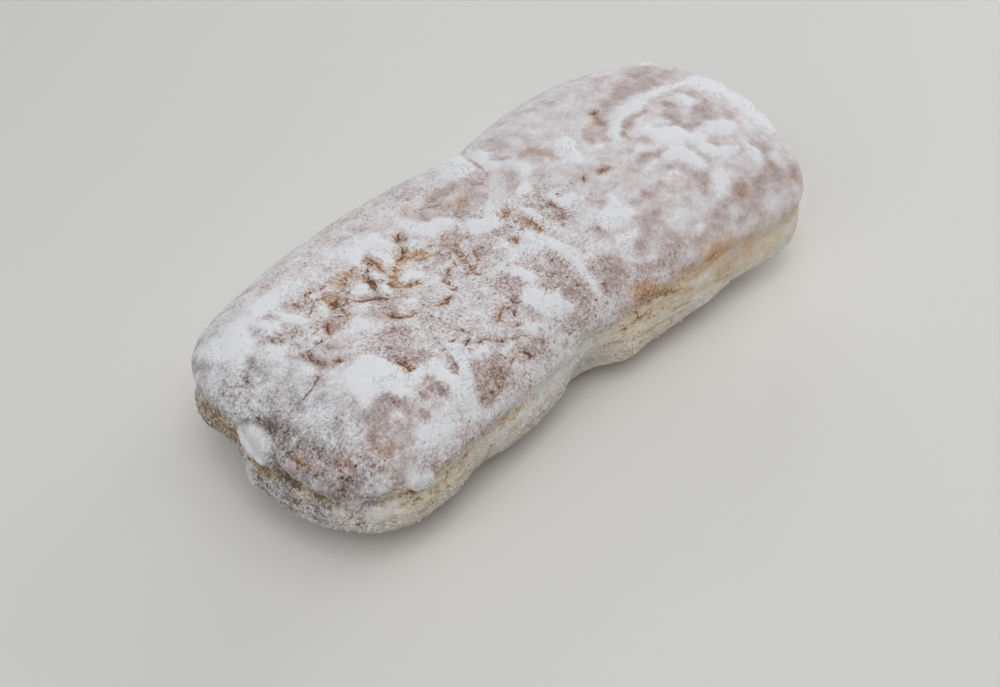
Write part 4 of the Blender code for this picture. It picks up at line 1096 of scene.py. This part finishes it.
def add_crumbs(crust):
    """Ragged crumbs and flakes of dusted dough along the lower edge."""
    points = read_points(crust.data)
    along, height = rim_places(points).T
    pale = 1 - read_attribute(crust.data, "browned")
    crumbly = between(CRUMBLY_SIDE, along)
    flakes = pale * between(FLAKED_EDGE, height) * (0.12 + crumbly)
    crumbs = pale * (0.1 + crumbly) * smooth_step(*CRUMB_HEIGHT, height)
    add_grains("edge_flakes", crust, flakes, flake_material())
    add_grains("crumbs", crust, crumbs, flake_material())


class Nodes:
    """Short names for the shader nodes that the materials are made of."""

    def __init__(self, name):
        self.material = bpy.data.materials.new(name)
        self.material.use_nodes = True
        self.tree = self.material.node_tree
        self.shader = self.tree.nodes["Principled BSDF"]
        place = self.tree.nodes.new("ShaderNodeTexCoord")
        scale = self.tree.nodes.new("ShaderNodeVectorMath")
        scale.operation = "SCALE"
        scale.inputs["Scale"].default_value = 1 / MM
        self.tree.links.new(place.outputs["Object"], scale.inputs[0])
        self.place = scale.outputs[0]

    def feed(self, socket, value):
        if isinstance(value, bpy.types.NodeSocket):
            self.tree.links.new(value, socket)
        else:
            socket.default_value = value

    def attribute(self, name):
        node = self.tree.nodes.new("ShaderNodeAttribute")
        node.attribute_name = name
        return node.outputs["Fac"]

    def math(self, operation, first, *others):
        """The operation on one value, or on the values one after another."""
        result = first
        for value in others or (0.0,):
            node = self.tree.nodes.new("ShaderNodeMath")
            node.operation = operation
            self.feed(node.inputs[0], result)
            self.feed(node.inputs[1], value)
            result = node.outputs[0]
        return result

    def add(self, *values):
        return self.math("ADD", *values)

    def times(self, *values):
        return self.math("MULTIPLY", *values)

    def stretched(self, along):
        """The place, with lengths along the three axes multiplied."""
        node = self.tree.nodes.new("ShaderNodeVectorMath")
        node.operation = "MULTIPLY"
        self.tree.links.new(self.place, node.inputs[0])
        node.inputs[1].default_value = along
        return node.outputs[0]

    def noise(self, wavelength, detail=2.0, roughness=0.5, amount=1.0, place=None):
        """Noise centred on zero, with that wavelength in millimetres."""
        node = self.tree.nodes.new("ShaderNodeTexNoise")
        self.feed(node.inputs["Vector"], place or self.place)
        node.inputs["Scale"].default_value = 1 / wavelength
        node.inputs["Detail"].default_value = detail
        node.inputs["Roughness"].default_value = roughness
        return self.times(self.add(node.outputs["Fac"], -0.5), amount)

    def step(self, value, low, high, to_low=0.0):
        """A soft step from to_low, where the value is low, to 1, where it is high."""
        node = self.tree.nodes.new("ShaderNodeMapRange")
        node.interpolation_type = "SMOOTHSTEP"
        for socket, number in zip(node.inputs, (value, low, high, to_low)):
            self.feed(socket, number)
        return node.outputs[0]

    def ramp(self, value, places, colours):
        node = self.tree.nodes.new("ShaderNodeValToRGB")
        self.feed(node.inputs["Fac"], value)
        elements = node.color_ramp.elements
        while len(elements) < len(places):
            elements.new(0.5)
        for element, place, colour in zip(elements, places, colours):
            element.position = place
            element.color = (*colour, 1.0)
        return node.outputs["Color"]

    def mix(self, share, first, second):
        node = self.tree.nodes.new("ShaderNodeMix")
        node.data_type = "RGBA"
        self.feed(node.inputs["Factor"], share)
        self.feed(node.inputs["A"], first)
        self.feed(node.inputs["B"], second)
        return node.outputs["Result"]

    def bump(self, height, distance):
        node = self.tree.nodes.new("ShaderNodeBump")
        self.feed(node.inputs["Height"], height)
        node.inputs["Distance"].default_value = distance * MM
        node.inputs["Strength"].default_value = 1.0
        self.feed(self.shader.inputs["Normal"], node.outputs["Normal"])

    def finish(self, colour, roughness, specular, sheen=0.0):
        self.feed(self.shader.inputs["Base Color"], colour)
        self.feed(self.shader.inputs["Roughness"], roughness)
        self.shader.inputs["Sheen Weight"].default_value = sheen
        self.shader.inputs["Sheen Roughness"].default_value = 0.6
        self.shader.inputs["Specular IOR Level"].default_value = specular
        return self.material


def wrinkle_line(nodes):
    """The dark line along the wrinkles, broken where sugar lies over it."""
    ragged = nodes.noise(0.9, detail=3.0, roughness=0.6, amount=2.6)
    side = nodes.add(nodes.attribute("wrinkle_side"), ragged)
    line = nodes.step(nodes.math("ABSOLUTE", side), 1.35, 0.3)
    broken = nodes.step(nodes.noise(1.6), -0.16, 0.02, to_low=0.35)
    return nodes.times(line, nodes.attribute("wrinkle_depth"), broken)


def crust_material():
    """Sugar in patches and fine grains over brown crust, and over the pale side."""
    nodes = Nodes("sugared_crust")
    sugar = nodes.attribute("sugar")
    coarse = nodes.attribute("coarse")
    browned = nodes.attribute("browned")
    roughened = nodes.step(coarse, 0.0, 1.0, to_low=0.27)
    ragged = nodes.noise(3.6, detail=5.0, roughness=0.6, amount=0.72)
    speckle = nodes.times(nodes.noise(0.75, roughness=0.55, amount=1.25), roughened)
    grain = nodes.times(nodes.noise(0.4, detail=1.0, amount=0.8), roughened)
    flattened = nodes.stretched((0.4, 0.4, 1.5))
    layers = nodes.noise(1.6, detail=4.0, roughness=0.65, amount=1.1, place=flattened)
    layered = nodes.times(nodes.step(browned, 0.9, 0.2), nodes.step(coarse, 0.0, 0.6, to_low=0.5))
    layers = nodes.times(layers, layered)
    loose = nodes.step(sugar, 1.12, 0.72, to_low=0.16)
    loose = nodes.math("MAXIMUM", loose, nodes.times(nodes.step(browned, 0.9, 0.3), coarse, 0.55))
    scatter = nodes.times(nodes.add(ragged, speckle, grain, layers), loose)
    dots = nodes.step(nodes.noise(1.3), 0.11, 0.17)
    flaked = nodes.add(sugar, nodes.times(ragged, 0.45), nodes.times(speckle, 0.25))
    flakes = nodes.times(nodes.step(flaked, 0.84, 0.93), browned, 0.22)
    line = wrinkle_line(nodes)
    cover = nodes.add(
        sugar, scatter, flakes, nodes.times(dots, loose, coarse, -0.42), nodes.times(line, -0.58))
    brown, orange, pale, dusty = (nodes.ramp(cover, COVER_STOPS, colours) for colours in (
        BROWN_UNDER_SUGAR, ORANGE_UNDER_SUGAR, SIDE_UNDER_SUGAR, DUSTY_UNDER_SUGAR))
    edge = nodes.add(browned, nodes.times(ragged, 0.65))
    colour = nodes.mix(nodes.step(edge, 0.1, 0.9), pale, brown)
    colour = nodes.mix(nodes.attribute("orange"), colour, orange)
    colour = nodes.mix(nodes.attribute("dusty"), colour, dusty)
    nodes.bump(nodes.add(scatter, nodes.times(line, -0.8)), 0.2)
    return nodes.finish(colour, 0.9, specular=0.2, sheen=0.1)


def speckled_material(name, wavelength, contrast, places, colours):
    """One of a few colours at each place, chosen by noise."""
    nodes = Nodes(name)
    shade = nodes.add(nodes.noise(wavelength, amount=contrast), 0.5)
    return nodes, nodes.ramp(shade, places, colours)


def sugar_material():
    nodes, colour = speckled_material(
        "loose_sugar", 1.3, 1.0, (0.2, 0.8), ((0.80, 0.79, 0.80), (0.91, 0.91, 0.92)))
    return nodes.finish(colour, 0.95, specular=0.2, sheen=0.1)


def flake_material():
    nodes, colour = speckled_material(
        "dusted_crumb", 1.6, 1.4, (0.15, 0.45, 0.80),
        ((0.58, 0.49, 0.37), (0.78, 0.72, 0.65), (0.88, 0.87, 0.86)))
    return nodes.finish(colour, 0.95, specular=0.2, sheen=0.1)


def floor_material():
    nodes, colour = speckled_material(
        "plain_floor", 60.0, 0.05, (0.0, 1.0), ((0.78, 0.77, 0.735), (0.82, 0.81, 0.775)))
    return nodes.finish(colour, 0.6, specular=0.3)


def add_floor():
    grid = bmesh.new()
    bmesh.ops.create_grid(grid, x_segments=4, y_segments=4, size=4.0)
    mesh = bpy.data.meshes.new("floor")
    grid.to_mesh(mesh)
    grid.free()
    mesh.materials.append(floor_material())
    floor = link("floor", mesh)


def add_light(name, turn, height, size, power, colour):
    """A round soft light that faces the doughnut and isn't seen itself."""
    data = bpy.data.lights.new(name, "AREA")
    data.shape = "DISK"
    data.size = size
    data.energy = power
    data.color = colour
    light = link(name, data)
    turn, height = math.radians(turn), math.radians(height)
    level = math.cos(height)
    place = Vector((math.cos(turn) * level, math.sin(turn) * level, math.sin(height)))
    light.location = LIGHT_DISTANCE * place
    light.rotation_euler = (-place).to_track_quat("-Z", "Y").to_euler()
    light.visible_camera = False


def add_lights():
    world = bpy.data.worlds.new("soft_room")
    world.use_nodes = True
    background = world.node_tree.nodes["Background"]
    background.inputs["Color"].default_value = (0.93, 0.96, 1.0, 1.0)
    background.inputs["Strength"].default_value = 0.2
    bpy.context.scene.world = world
    for name, values in SOFT_LIGHTS.items():
        add_light(name, *values)


def add_camera():
    camera = link("camera", bpy.data.cameras.new("camera"))
    camera.data.lens = CAMERA_LENS
    camera.data.clip_start = 0.01
    camera.location = Vector(CAMERA_PLACE) * MM
    camera.rotation_euler = (math.pi / 2 - CAMERA_DIP, 0.0, -CAMERA_TURN)
    bpy.context.scene.camera = camera


bpy.context.scene.view_settings.view_transform = "Standard"
crust = add_crust()
add_loose_sugar(crust)
add_crumbs(crust)
add_floor()
add_lights()
add_camera()
